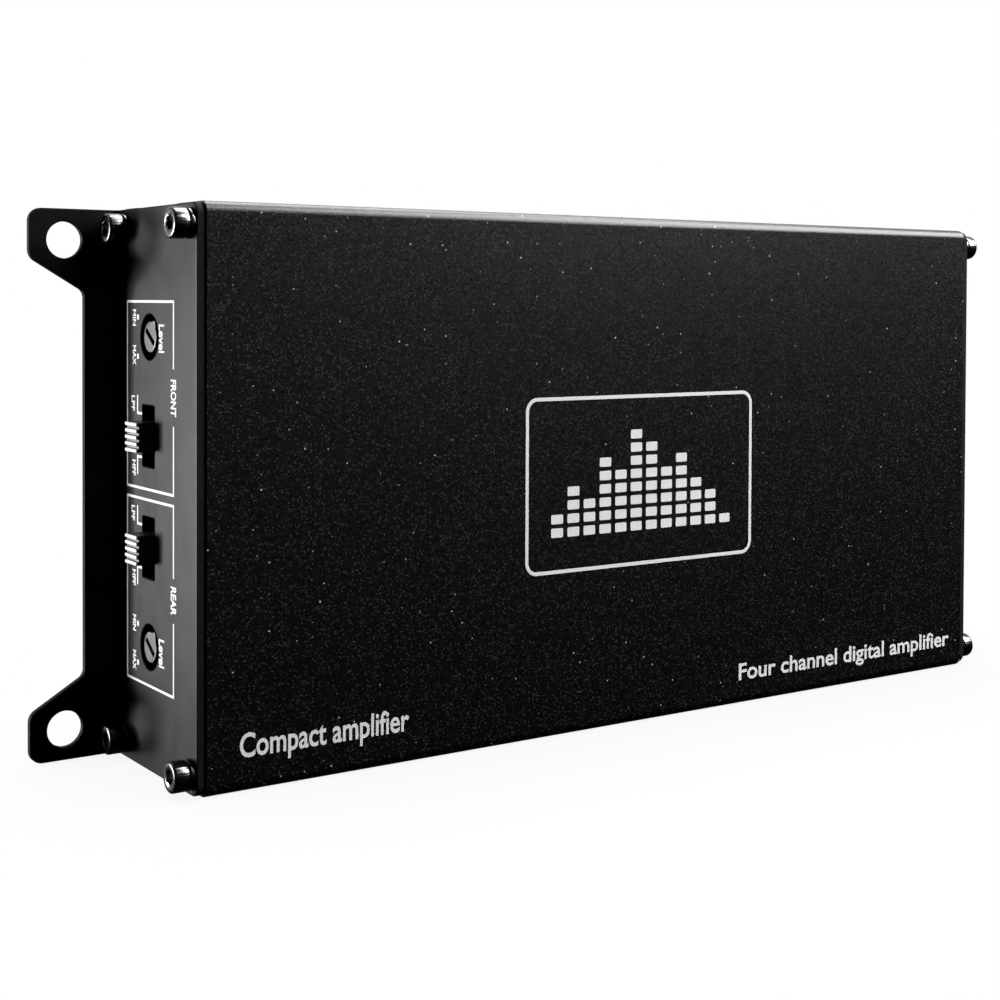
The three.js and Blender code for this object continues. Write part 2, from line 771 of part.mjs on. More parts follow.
for (const [channel, side] of Object.entries({ front: 1, rear: -1 })) {
  const levelZ = CONTROL_MID_Z + side * LEVEL_OFFSET;
  const filterZ = CONTROL_MID_Z + side * FILTER_OFFSET;
  add(`${channel}_level_pot`, levelPot(), blackPlastic(), group, [0, 0, levelZ]);
  add(`${channel}_level_shaft`, levelShaft(), greyPlastic(), group, [0, CONTROL_Y, levelZ]);
  add(`${channel}_filter_switch`, filterSwitch(), blackPlastic(), group, [0, 0, filterZ]);
  add(`${channel}_filter_knob`, filterKnob(), blackPlastic(), group, [0, 0, filterZ]);
}

add("rca_block", rcaBlock(), blackPlastic(), connectorEnd);
rcaPlaces().forEach((z, i) => {
  const place = [0, CONTROL_Y, z];
  const ring = i % 2 ? whitePlastic() : redPlastic();
  add(`rca_sleeve_${i + 1}`, rcaSleeve(), nickel(), connectorEnd, place);
  add(`rca_core_${i + 1}`, rcaCore(), ring, connectorEnd, place);
});
add("speaker_header", shroudedHeader(SPEAKER_HEADER_Y), blackPlastic(), connectorEnd);
add("power_header", shroudedHeader(POWER_HEADER_Y), blackPlastic(), connectorEnd);
add("fuse_holder", fuseHolder(), blackPlastic(), connectorEnd);
add("blade_fuse", bladeFuse(), amberPlastic(), connectorEnd);
add("power_led", powerLed(), blueLens(), connectorEnd);

add("main_circuit_board", circuitBoard(), boardGreen());
add("supply_toroid", supplyToroid(), copperWinding());
CAPACITOR_PLACES.forEach(([x, z], i) => {
  add(`supply_capacitor_${i + 1}`, capacitor(), blackPlastic(), group, [x, 0, z]);
});
INDUCTOR_ZS.forEach((z, i) => {
  add(`output_inductor_${i + 1}`, outputInductor(), greyPlastic(), group, [INDUCTOR.x, 0, z]);
});
PACKAGES.forEach((item) => add(item.name, powerPackage(item), blackPlastic()));
add("heat_pad", heatPad(), greyPad());
add("clamp_bar", clampBar(), rawAluminium());
CLAMP_SCREW_XS.forEach((x, i) => {
  add(`clamp_screw_${i + 1}`, clampScrew(), blackSteel(), group, [x, CLAMP_SCREW_Y, 0]);
});

export default group;
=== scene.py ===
"""The looks of a compact car amplifier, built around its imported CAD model.

Lengths are in millimetres, in the model's own frame: +X from the control end to the connector end, +Y from
the printed face to the mounting plane, +Z up. piece() turns them into metres. A shape is a bmesh.
"""

import json
from math import copysign, cos, pi, radians, sin, sqrt, tan

import bmesh
import bpy
from mathutils import Matrix, Quaternion, Vector


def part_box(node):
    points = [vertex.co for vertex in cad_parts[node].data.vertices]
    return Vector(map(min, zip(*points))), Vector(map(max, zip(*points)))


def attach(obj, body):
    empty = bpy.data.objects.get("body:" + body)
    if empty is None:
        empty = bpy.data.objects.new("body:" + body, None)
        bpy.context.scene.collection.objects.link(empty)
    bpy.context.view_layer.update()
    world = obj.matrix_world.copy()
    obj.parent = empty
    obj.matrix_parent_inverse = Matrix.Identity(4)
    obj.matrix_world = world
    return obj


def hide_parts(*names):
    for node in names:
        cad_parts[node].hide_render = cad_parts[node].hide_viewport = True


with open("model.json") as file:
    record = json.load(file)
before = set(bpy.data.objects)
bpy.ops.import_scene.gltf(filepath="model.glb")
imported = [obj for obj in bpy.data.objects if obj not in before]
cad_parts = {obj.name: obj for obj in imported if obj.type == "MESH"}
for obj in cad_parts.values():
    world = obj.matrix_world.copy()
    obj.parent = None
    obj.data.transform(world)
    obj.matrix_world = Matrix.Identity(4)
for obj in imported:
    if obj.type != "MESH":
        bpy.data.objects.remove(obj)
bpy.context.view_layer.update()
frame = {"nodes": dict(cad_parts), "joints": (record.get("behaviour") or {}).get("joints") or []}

MM = 0.001
SCENE = bpy.context.scene


# ---- sizes, from the frame where it has them


def node_box(node):
    """A CAD node's lowest and highest corners, in millimetres."""
    low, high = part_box(node)
    return low / MM, high / MM


def middle(node):
    low, high = node_box(node)
    return (low + high) / 2


HOUSING_LOW, HOUSING_HIGH = node_box("extruded_housing")
PANEL_LOW, PANEL_HIGH = node_box("control_end_panel")
BOARD_LOW, BOARD_HIGH = node_box("main_circuit_board")
BODY_WIDTH = HOUSING_HIGH.z
FACE_Y = HOUSING_LOW.y
MOUNT_Y = PANEL_HIGH.y
CORNERS = range(1, 5)

# Where the moving parts are, by body
LEVELS = {j["child"]: Vector(j["pos_m"]) / MM for j in frame["joints"] if j["type"] == "hinge"}
FILTERS = {j["child"]: middle(f"{j['child']}_knob") for j in frame["joints"] if j["type"] == "slide"}

# The connector end is the control end turned half a turn about Y, and is built in this turned frame.
TURN = Matrix.Translation((0, 0, BODY_WIDTH)) @ Matrix.Rotation(pi, 4, "Y")

# Housing section
FACE_RADIUS = 2.0
BACK_RADIUS = 1.0
SIDE_RECESS = 0.4
FACE_LAND = 12.7
BACK_LAND = 6.9
LAND_RADIUS = 0.35
WALL = 2.2
BOSS_RADIUS = 3.2
CHANNEL_RADIUS = 1.85
RAIL = 1.2
RAIL_REACH = 2.2
GROOVE_GAP = 0.2
CUT_EDGE = 0.15

# End panels
SHEET = 1.5
SHEET_EDGE = 0.22
PANEL_OUT = PANEL_HIGH.x - SHEET
BEND_RADIUS = 1.0
BEND_X = PANEL_OUT - BEND_RADIUS
BEND_Y = MOUNT_Y - SHEET - BEND_RADIUS
BEND_CUTS = 10
PANEL_RUN = BEND_Y - PANEL_LOW.y
NEUTRAL_RADIUS = BEND_RADIUS + SHEET / 2
BEND_RUN = NEUTRAL_RADIUS * pi / 2
PANEL_CORNER = 2.2
WEB_EDGE = HOUSING_LOW.x - 8.2
EAR_SHOULDER = 9.6
EAR_ROOT = 16.1
EAR_CORNER = 2.5
EAR_ROOT_RADIUS = 2.0
EAR_HOLE_RADIUS = 3.5
EAR_HOLE_X = HOUSING_LOW.x - 12.1
EAR_HOLE_INSET = 6.25
LEVEL_HOLE_RADIUS = 4.3
FILTER_SLOT = (5.9, 11.55)
FILTER_SLOT_CORNER = 0.35
RCA_HOLE_RADIUS = 5.0
LED_HOLE_RADIUS = 1.9
CUTOUT_GAP = 0.4
CUTOUT_CORNER = 0.5

# Screws and washers
HEX_FLATS = 2.5
SOCKET_DEPTH = 1.6
CONE_RADIUS = 1.0
CONE_DEPTH = 0.45
SOCKET_CHAMFER = 0.12
LIP_DEPTH = 0.02
LIP_WIDTH = 0.06
KNURLS = 32
KNURL_STEPS = 6
KNURL_DEPTH = 0.025
KNURL_FOOT = 0.32
KNURL_TOP = 0.44
SHANK_RADIUS = 1.5
SHANK_FILLET = 0.15
TIP_INSET = 0.45
TIP_LENGTH = 0.5
HEAD_GAP = 0.05
SCREW_ROLL = 37
WASHER_PLAY = 0.2
WASHER_ROLL = 70
WASHER_START = 20

# Level controls. POINTER_NUB: how far in, and to the side. DRIVER_SLOT: length, width and depth
SHAFT_RADIUS = 2.9
POINTER_RADIUS = 3.75
POINTER_DEG = 35
POINTER_SPREAD = 26
POINTER_NUB = (0.25, 0.35)
POINTER_DEPTH = 0.8
POINTER_EDGE = 0.12
STEM_OVERLAP = 0.1
STEM_PLAY = 0.01
DRIVER_SLOT = (4.6, 1.1, 1.4)
DRIVER_SLOT_CORNER = 0.2
CUT_OVER = 1.0

# Filter knobs
KNOB_RIBS = 5
RIB_SHARE = 0.55
RIB_HEIGHT = 0.5
RIB_CREST = 0.16
RIB_ROOT = 0.1
# share of the ribs' height, from the outer end, that is pale
RIB_PALE_SHARE = 0.55
KNOB_CORNER = 0.2
KNOB_EDGE = 0.15

# Input sockets
SLEEVE_WALL = 0.85
CORE_PLAY = 0.02
CORE_HOLE_RADIUS = 1.7
CORE_FLOOR = 1.0

# Headers
SHROUD_WALL = 1.5
SHROUD_CORNER = 0.6
SHROUD_EDGE = 0.2
SHROUD_LIP = 0.25
SHROUD_LEAD = 0.4
CAVITY_DEPTH = 9.0
CAVITY_CORNER = 0.3
KEY_WIDTH = 1.4
KEY_REACH = 0.7
KEY_SET_BACK = 1.2
KEY_EDGE = 0.12
PIN_SET_BACK = 2.2
PIN_ROW_PITCH = 3.9
PIN_SPREAD = 0.8
PIN_TAPER = (0.7, 0.55)
PIN_CORNER = 0.1

# Fuse and lamp; a blade and a window each by distance from the middle, width, thickness and rounding
FUSE_BODY = 12.0
FUSE_BLADE = (6.4, 5.2, 0.7, 0.12)
BLADE_ROOT = 1.0
FUSE_WINDOW = (7.6, 1.6, 1.4, 0.1)
WINDOW_DEPTH = 0.35
WINDOW_PROUD = 0.01
LED_RADIUS = 1.5
LED_COLLAR = 1.0
LED_DOME_STEPS = 6

# Print
INK = 0.02
SUNK = 0.005


# ---- outlines


def rounded(corners, steps=8):
    """A closed outline through corners, each (a, b, radius), with true arcs at the rounded ones."""
    points = []
    for i, (a, b, radius) in enumerate(corners):
        corner = Vector((a, b))
        if not radius:
            points.append(corner)
            continue
        before = (Vector(corners[i - 1][:2]) - corner).normalized()
        after = (Vector(corners[(i + 1) % len(corners)][:2]) - corner).normalized()
        half = before.angle(after) / 2
        centre = corner + (before + after).normalized() * radius / sin(half)
        start = corner + before * radius / tan(half) - centre
        end = corner + after * radius / tan(half) - centre
        sweep = copysign(pi - 2 * half, start.cross(end))
        points += [centre + Matrix.Rotation(sweep * k / steps, 2) @ start for k in range(steps + 1)]
    return points


def rectangle(a_range, b_range, radius=0.0, steps=6):
    (a0, a1), (b0, b1) = a_range, b_range
    return rounded([(a0, b0, radius), (a1, b0, radius), (a1, b1, radius), (a0, b1, radius)], steps)


def polar(radius, angle, a=0.0, b=0.0):
    """A point on the circle about (a, b)."""
    return a + radius * cos(angle), b + radius * sin(angle)


def circle(a, b, radius, segments):
    return [Vector(polar(radius, 2 * pi * k / segments, a, b)) for k in range(segments)]


def arc(centre, start, end, steps=10):
    """Points from start to end on the circle about centre, the short way round."""
    spoke = start - centre
    sweep = spoke.angle_signed(end - centre)
    return [centre + Matrix.Rotation(-sweep * k / steps, 2) @ spoke for k in range(steps + 1)]


def mirrored(lower):
    """The lower half of an outline round the body, each point (a, Z, ...), and its upper half."""
    return [*lower, *((a, BODY_WIDTH - z, *more) for a, z, *more in reversed(lower))]


def quarter_turn(steps):
    return [pi / 2 * k / steps for k in range(steps + 1)]


def around(value, size):
    return value - size / 2, value + size / 2


def wider(low, high, gap=CUTOUT_GAP):
    return low - gap, high + gap


def wound(outline, way):
    """The outline run counter-clockwise (way 1) or clockwise (way -1)."""
    area = sum(outline[i - 1].cross(outline[i]) for i in range(len(outline)))
    return list(outline) if area * way > 0 else list(reversed(outline))


def moved_inwards(outline, distance):
    """The outline moved to its left by distance, with mitred corners."""
    moved = []
    for i, point in enumerate(outline):
        before = (point - outline[i - 1]).normalized()
        after = (outline[(i + 1) % len(outline)] - point).normalized()
        across = Vector((-before.y - after.y, before.x + after.x))
        moved.append(point + across * distance / (1 + before.dot(after)))
    return moved


# ---- shapes


def stitch(shape, rings, closed=False):
    """Faces between one ring of vertices and the next. A ring of one vertex is a pole."""
    pairs = list(zip(rings, rings[1:]))
    if closed:
        pairs.append((rings[-1], rings[0]))
    for lower, upper in pairs:
        for i in range(max(len(lower), len(upper))):
            if len(lower) == 1:
                corners = [lower[0], upper[i], upper[i - 1]]
            elif len(upper) == 1:
                corners = [lower[i - 1], lower[i], upper[0]]
            else:
                corners = [lower[i - 1], lower[i], upper[i], upper[i - 1]]
            shape.faces.new(corners)


def facing_out(shape):
    bmesh.ops.recalc_face_normals(shape, faces=shape.faces)
    return shape


def slab(outer, holes, depth, rim=0.0, steps=3, edge_look=0):
    """A plate from c = 0 to c = depth, with outlines in a and b and its rims rounded."""
    quarter = [(0.0, 0.0)]
    if rim:
        quarter = [(rim * (1 - sin(t)), rim * (1 - cos(t))) for t in quarter_turn(steps)]
    levels = quarter + [(inset, depth - height) for inset, height in reversed(quarter)]
    shape = bmesh.new()
    caps = ([], [])
    for outline in [wound(outer, 1), *(wound(hole, -1) for hole in holes)]:
        rings = []
        for inset, height in levels:
            ring = moved_inwards(outline, inset)
            rings.append([shape.verts.new((a, b, height)) for a, b in ring])
        stitch(shape, rings)
        for cap, ring in zip(caps, (rings[0], rings[-1])):
            cap.extend(shape.edges.get((ring[i - 1], ring[i])) for i in range(len(ring)))
    coloured(shape, edge_look)
    for edges in caps:
        bmesh.ops.triangle_fill(shape, use_beauty=True, use_dissolve=False, edges=edges)
    return facing_out(shape)


def turned_solid(profile, segments, closed=False):
    """A body of revolution about c. The profile's points are (c, radius), and a radius may be a function of
    the angle. A closed profile gives a ring."""
    shape = bmesh.new()
    rings = []
    for height, radius in profile:
        if radius == 0:
            rings.append([shape.verts.new((0, 0, height))])
            continue
        ring = []
        for k in range(segments):
            angle = 2 * pi * k / segments
            reach = radius(angle) if callable(radius) else radius
            ring.append(shape.verts.new((*polar(reach, angle), height)))
        rings.append(ring)
    stitch(shape, rings, closed)
    return facing_out(shape)


def loft(rings):
    """A closed body through rings of points, with flat ends."""
    shape = bmesh.new()
    rings = [[shape.verts.new(point) for point in ring] for ring in rings]
    stitch(shape, rings)
    shape.faces.new(rings[0])
    shape.faces.new(rings[-1])
    return facing_out(shape)


def section(x, ranges, insets, radius):
    """A ring for loft: a rounded rectangle at x, its Y and Z ranges narrowed by the insets at each end."""
    narrowed = [wider(*span, gap=-inset) for span, inset in zip(ranges, insets)]
    return [(x, y, z) for y, z in rectangle(*narrowed, radius, steps=4)]


def block(x_range, y_range, z_range, rim):
    """A box with its edges rounded."""
    shape = slab(rectangle(x_range, y_range, rim, steps=3), [], z_range[1] - z_range[0], rim)
    return placed(shape, Matrix.Translation((0, 0, z_range[0])))


def placed(shape, matrix):
    bmesh.ops.transform(shape, matrix=matrix, verts=shape.verts)
    return facing_out(shape)


def axes(a, b, c, origin=(0, 0, 0)):
    """The matrix that lays a shape's own axes along a, b and c, with its origin at a point."""
    turn = Matrix((a, b, c)).transposed().to_4x4()
    return Matrix.Translation(origin) @ turn


def rolled(degrees):
    return Matrix.Rotation(radians(degrees), 4, "Z")


def as_mesh(shape, name):
    """The mesh of a shape, which is used up."""
    mesh = bpy.data.meshes.new(name)
    shape.to_mesh(mesh)
    shape.free()
    return mesh


def joined(shapes):
    """One shape from several. Faces keep their material numbers."""
    whole = bmesh.new()
    for shape in shapes:
        mesh = as_mesh(shape, "joining")
        whole.from_mesh(mesh)
        bpy.data.meshes.remove(mesh)
    return whole


def coloured(shape, number):
    """The shape with another of its piece's materials."""
    for face in shape.faces:
        face.material_index = number
    return shape


def linked(name, data):
    obj = bpy.data.objects.new(name, data)
    SCENE.collection.objects.link(obj)
    return obj


def evaluated(obj):
    """The shape of an object with its modifiers applied, or of its letters."""
    shape = bmesh.new()
    shape.from_mesh(obj.evaluated_get(bpy.context.evaluated_depsgraph_get()).to_mesh())
    return shape


def cut(shape, cutter):
    """The shape with the cutter taken out of it."""
    objects = [linked("cutting", as_mesh(part, "cutting")) for part in (shape, cutter)]
    modifier = objects[0].modifiers.new("cut", "BOOLEAN")
    modifier.operation = "DIFFERENCE"
    modifier.object = objects[1]
    result = evaluated(objects[0])
    for obj in objects:
        bpy.data.meshes.remove(obj.data)
    return result


def piece(name, shape, looks, body="amplifier", stands_for=(), crease=35):
    """Makes a shape a piece of the object: in metres, riding on a body, in place of CAD nodes."""
    bmesh.ops.scale(shape, vec=(MM, MM, MM), verts=shape.verts)
    mesh = as_mesh(shape, name)
    for look in looks:
        mesh.materials.append(look)
    mesh.shade_smooth()
    mesh.set_sharp_from_angle(angle=radians(crease))
    obj = linked(name, mesh)
    obj.modifiers.new("even_normals", "WEIGHTED_NORMAL").keep_sharp = True
    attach(obj, body)
    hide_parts(*stands_for)


# ---- materials

NOISE_RANGE = (0.3, 0.7)  # where noise mostly stays


def new_node(tree, kind, inputs=None, **settings):
    """A node with its settings, its inputs fed by numbers, colours or other nodes' outputs."""
    made = tree.nodes.new(kind)
    for name, value in settings.items():
        setattr(made, name, value)
    for name, value in (inputs or {}).items():
        socket = made.inputs[name]
        if isinstance(value, bpy.types.NodeSocket):
            tree.links.new(value, socket)
        elif socket.type == "RGBA":
            socket.default_value = (*value, 1)
        else:
            socket.default_value = value
    return made


def mapped(tree, source, start, end, kind="SMOOTHSTEP"):
    """The source's range from start to the range end, smoothly unless another kind is asked for."""
    inputs = dict(zip(("Value", "From Min", "From Max", "To Min", "To Max"), (source, *start, *end)))
    return new_node(tree, "ShaderNodeMapRange", inputs, interpolation_type=kind).outputs["Result"]


class Look:
    """A material being made: its node tree and its Principled shader."""

    def __init__(self, name, **plain):
        self.material = bpy.data.materials.new(name)
        self.material.use_nodes = True
        self.tree = self.material.node_tree
        self.shader = self.tree.nodes["Principled BSDF"]
        for socket, value in plain.items():
            self.shader.inputs[socket.replace("_", " ")].default_value = value
        self.place = self.node("ShaderNodeTexCoord").outputs["Object"]

    def node(self, kind, inputs=None, **settings):
        return new_node(self.tree, kind, inputs, **settings)

    def noise(self, size, detail=3.0, roughness=0.55, place=None):
        """Noise with grains of about this size in millimetres."""
        inputs = {"Vector": place or self.place, "Scale": 1 / (size * MM)}
        inputs |= {"Detail": detail, "Roughness": roughness}
        return self.node("ShaderNodeTexNoise", inputs).outputs["Fac"]

    def grains(self, size, rare, common, inside, outside):
        """Round grains in cells of this size; the limits choose how many, and how wide they are."""
        cells = self.node("ShaderNodeTexVoronoi", {"Vector": self.place, "Scale": 1 / (size * MM)}).outputs
        picked = self.node("ShaderNodeSeparateColor", {"Color": cells["Color"]}).outputs[0]
        spot = self.steps(cells["Distance"], inside, outside, (1.0, 0.0))
        return self.maths("MULTIPLY", self.steps(picked, rare, common), spot)

    def stretched(self, scale):
        """The place, stretched along the axes."""
        return self.node("ShaderNodeMapping", {"Vector": self.place, "Scale": scale}).outputs["Vector"]

    def steps(self, source, low, high, to=(0.0, 1.0)):
        return mapped(self.tree, source, (low, high), to)

    def uneven(self, noise, *limits):
        """A value between two limits that follows the noise."""
        return mapped(self.tree, noise, NOISE_RANGE, limits)

    def maths(self, operation, first, second):
        return self.node("ShaderNodeMath", {0: first, 1: second}, operation=operation).outputs[0]

    def mixed(self, share, first, second):
        """One colour into another by a share."""
        inputs = {"Factor": share, 6: first, 7: second}
        return self.node("ShaderNodeMix", inputs, data_type="RGBA").outputs[2]

    def axis(self, name, vector):
        return self.node("ShaderNodeSeparateXYZ", {"Vector": vector}).outputs[name]

    def finished(self, colour, roughness, *bumps):
        """The material with its colour, its roughness and its bumps, each (height, depth in millimetres)."""
        inputs = {}
        for height, depth in bumps:
            inputs |= {"Height": height, "Distance": depth * MM, "Strength": 1.0}
            inputs["Normal"] = self.node("ShaderNodeBump", inputs).outputs["Normal"]
        driven = {"Base Color": colour, "Roughness": roughness, "Normal": inputs["Normal"]}
        for socket, source in driven.items():
            self.tree.links.new(source, self.shader.inputs[socket])
        return self.material


def grey(value, blue=None):
    """A grey colour, its blue a little off where that is given."""
    return value, value, blue or value


def powder_coat():
    """Fine-textured black powder coat: matt grit, and sparse bright flakes. It is rougher on the narrow
    sides, so that a light which grazes them stays soft."""
    look = Look("black_powder_coat", Specular_IOR_Level=0.33)
    grain = look.noise(0.45, roughness=0.7)
    grit = look.grains(0.46, rare=0.3, common=1.0, inside=0.2, outside=0.5)
    flakes = look.grains(0.8, rare=0.975, common=1.0, inside=0.16, outside=0.26)
    tone = look.mixed(look.noise(9.0), grey(0.0003), grey(0.0007))
    tone = look.mixed(grit, tone, grey(0.023, 0.0235))
    upright = look.axis("Z", look.node("ShaderNodeTexCoord").outputs["Normal"])
    rough_sides = look.steps(look.maths("MULTIPLY", upright, upright), 0.8, 0.99, (0.0, 0.3))
    matt = look.maths("ADD", look.maths("MULTIPLY", grit, 0.2), rough_sides)
    roughness = look.maths("ADD", look.uneven(grain, 0.27, 0.35), matt)
    return look.finished(look.mixed(flakes, tone, grey(0.4, 0.42)), roughness, (grain, 0.038))


def panel_paint():
    """Satin black paint on sheet steel, smoother than the housing's coat, with a rare speck of dust."""
    look = Look("satin_black_paint", Specular_IOR_Level=0.1)
    orange_peel = look.noise(1.4, detail=1.5, roughness=0.4)
    grain = look.noise(0.3, detail=1.0)
    speck = look.grains(2.6, rare=0.95, common=0.97, inside=0.03, outside=0.05)
    tone = look.mixed(look.noise(12.0), grey(0.003, 0.0032), grey(0.006, 0.0062))
    colour = look.mixed(speck, tone, (0.2, 0.19, 0.18))
    roughness = look.uneven(look.noise(6.0), 0.32, 0.36)
    return look.finished(colour, roughness, (orange_peel, 0.01), (grain, 0.003))


def metal(name, colour, darker, roughness, scratch=(1.0, 1.0, 1.0), depth=0.004):
    """A plated or bare metal with fine marks and slight tarnish."""
    look = Look(name, Metallic=1.0)
    marks = look.noise(0.25, roughness=0.65, place=look.stretched(scratch))
    tarnish = look.steps(look.noise(3.5), 0.35, 0.7)
    uneven = look.uneven(marks, roughness * 0.75, roughness * 1.35)
    return look.finished(look.mixed(tarnish, colour, darker), uneven, (marks, depth))


def plastic(name, colour, lighter, roughness, grain=0.18, depth=0.006, specular=0.5):
    """Moulded plastic with a fine spark-eroded grain."""
    look = Look(name, Specular_IOR_Level=specular)
    texture = look.noise(grain, detail=2.0)
    flow = look.steps(look.noise(4.0), 0.3, 0.75)
    uneven = look.uneven(texture, roughness * 0.85, roughness * 1.15)
    return look.finished(look.mixed(flow, colour, lighter), uneven, (texture, depth))


def knob_plastic():
    """The filter knobs: black, with a mottled pale colour on the rib crests at the outer end."""
    look = Look("knob_plastic", Specular_IOR_Level=0.5)
    pale_end = node_box("front_filter_knob")[0].x + RIB_HEIGHT * RIB_PALE_SHARE
    soft = 0.08
    pale = look.steps(look.axis("X", look.place), (pale_end + soft) * MM, (pale_end - soft) * MM)
    pale_mottle = look.steps(look.noise(0.35), 0.3, 0.5)
    texture = look.noise(0.2, detail=2.0)
    white = look.mixed(pale_mottle, grey(0.5, 0.48), grey(0.82, 0.8))
    black = look.mixed(look.noise(2.0, detail=2.0), grey(0.008), grey(0.014))
    return look.finished(look.mixed(pale, black, white), look.uneven(texture, 0.38, 0.5), (texture, 0.006))


def ink(name, colour, thin):
    """Screen-printed ink, slightly uneven where it lies thin."""
    look = Look(name, Specular_IOR_Level=0.4)
    cover = look.steps(look.noise(0.3, roughness=0.7), 0.35, 0.6)
    roughness = look.uneven(look.noise(0.2, detail=2.0), 0.42, 0.55)
    return look.finished(look.mixed(cover, thin, colour), roughness, (look.noise(0.35, detail=2.0), 0.006))


def clear_plastic(name, colour, deeper, transmission, roughness):
    """Tinted see-through plastic."""
    look = Look(name, Transmission_Weight=transmission, IOR=1.49)
    tint = look.mixed(look.noise(3.0, detail=2.0), colour, deeper)
    uneven = look.uneven(look.noise(0.6, detail=2.0), roughness, roughness * 2)
    return look.finished(tint, uneven, (look.noise(1.2, detail=1.0), 0.004))


def board_laminate():
    """Green solder mask over copper tracks, with the glass weave just showing."""
    look = Look("board_laminate", Specular_IOR_Level=0.5, Coat_Weight=0.4, Coat_Roughness=0.15)
    inputs = {"Vector": look.place, "Scale": 420.0, "Distortion": 3.0, "Detail": 1.0, "Detail Scale": 1.0}
    tracks = look.node("ShaderNodeTexWave", inputs, wave_type="BANDS", bands_direction="DIAGONAL")
    lines = look.steps(tracks.outputs["Fac"], 0.55, 0.62)
    weave = look.noise(0.5, detail=1.0, roughness=0.5, place=look.stretched((1.0, 1.0, 3.0)))
    mask = look.mixed(look.steps(weave, 0.4, 0.7), (0.006, 0.07, 0.028), (0.01, 0.095, 0.04))
    colour = look.mixed(lines, mask, (0.02, 0.16, 0.06))
    return look.finished(colour, look.uneven(weave, 0.3, 0.42), (lines, 0.03), (weave, 0.006))


HOUSING_COAT = powder_coat()
PANEL_PAINT = panel_paint()
BLACK_NICKEL = metal("black_nickel", (0.12, 0.118, 0.116), (0.09, 0.088, 0.087), 0.2, depth=0.001)
NICKEL = metal("nickel", (0.66, 0.63, 0.58), (0.5, 0.47, 0.42), 0.2, scratch=(1.0, 4.0, 4.0))
TIN = metal("tinned_brass", (0.7, 0.66, 0.55), (0.5, 0.45, 0.35), 0.28, scratch=(4.0, 1.0, 1.0))
ALUMINIUM = metal("bare_aluminium", (0.62, 0.63, 0.64), (0.48, 0.49, 0.5), 0.36, scratch=(0.2, 3.0, 3.0))
COPPER = metal("copper_winding", (0.75, 0.32, 0.13), (0.45, 0.16, 0.06), 0.26)
EDGE_PAINT = plastic("edge_paint", grey(0.004), grey(0.008), 0.7, grain=0.3, depth=0.008, specular=0.08)
BLACK_PLASTIC = plastic("black_plastic", grey(0.012, 0.013), grey(0.02, 0.021), 0.45)
CHIP_EPOXY = plastic("chip_epoxy", grey(0.018), (0.032, 0.031, 0.03), 0.58, grain=0.12, depth=0.01)
SHAFT_PLASTIC = plastic("grey_shaft_plastic", grey(0.03, 0.031), grey(0.042, 0.043), 0.42, specular=0.3)
RED_PLASTIC = plastic("red_plastic", (0.42, 0.012, 0.01), (0.52, 0.02, 0.015), 0.34)
WHITE_PLASTIC = plastic("white_plastic", (0.5, 0.49, 0.46), (0.58, 0.57, 0.54), 0.36)
CAN_SLEEVE = plastic("can_sleeve", (0.012, 0.013, 0.018), (0.02, 0.022, 0.03), 0.25, grain=0.6)
FERRITE = plastic("ferrite_grey", grey(0.07, 0.072), grey(0.12, 0.122), 0.62, grain=0.25, depth=0.02)
PAD_GREY = plastic("heat_pad_grey", grey(0.17, 0.18), grey(0.24, 0.25), 0.8, grain=0.5, depth=0.02)
AMBER = clear_plastic("amber_plastic", (0.95, 0.5, 0.06), (0.85, 0.36, 0.03), 0.55, 0.12)
BLUE_LENS = clear_plastic("blue_lens", (0.12, 0.3, 0.95), (0.08, 0.2, 0.8), 0.7, 0.06)
KNOB = knob_plastic()
WHITE_INK = ink("white_ink", grey(0.86), grey(0.66))
GREY_INK = ink("grey_ink", grey(0.65, 0.655), grey(0.53, 0.535))
LAMINATE = board_laminate()


# ---- housing


def housing_outline():
    front = FACE_Y + FACE_LAND
    back = HOUSING_HIGH.y - BACK_LAND
    return rounded(mirrored([
        (FACE_Y, 0, FACE_RADIUS),
        (front, 0, LAND_RADIUS),
        (front + SIDE_RECESS, SIDE_RECESS, LAND_RADIUS),
        (back - SIDE_RECESS, SIDE_RECESS, LAND_RADIUS),
        (back, 0, LAND_RADIUS),
        (HOUSING_HIGH.y, 0, BACK_RADIUS),
    ]))


def cavity_outline():
    """The inside of the extrusion: a boss at each corner, and two rails beside the board's edges."""
    wall = WALL + SIDE_RECESS
    rail = wall + RAIL_REACH
    front_wall = FACE_Y + WALL
    back_wall = HOUSING_HIGH.y - WALL
    front_boss, back_boss = (middle(f"control_end_screw_{n}").yz for n in (1, 3))
    rail_front = BOARD_LOW.y - GROOVE_GAP
    rail_back = BOARD_HIGH.y + GROOVE_GAP

    def boss_reach(distance):
        return sqrt(BOSS_RADIUS**2 - distance**2)

    start = Vector((front_wall, front_boss.y + boss_reach(front_boss.x - front_wall)))
    lower = arc(front_boss, start, Vector((front_boss.x + boss_reach(front_boss.y - wall), wall)))
    lower += [(rail_front - RAIL, wall), (rail_front - RAIL, rail), (rail_front, rail), (rail_front, wall)]
    lower += [(rail_back, wall), (rail_back, rail)]
    end = Vector((back_wall, back_boss.y + boss_reach(back_boss.x - back_wall)))
    lower += arc(back_boss, Vector((back_boss.x - boss_reach(back_boss.y - rail), rail)), end)
    return [Vector(point) for point in mirrored(lower)]


def screw_holes():
    """The outlines of the four corner screws' holes, in Y and Z."""
    places = [middle(f"control_end_screw_{number}") for number in CORNERS]
    return [circle(place.y, place.z, CHANNEL_RADIUS, segments=24) for place in places]


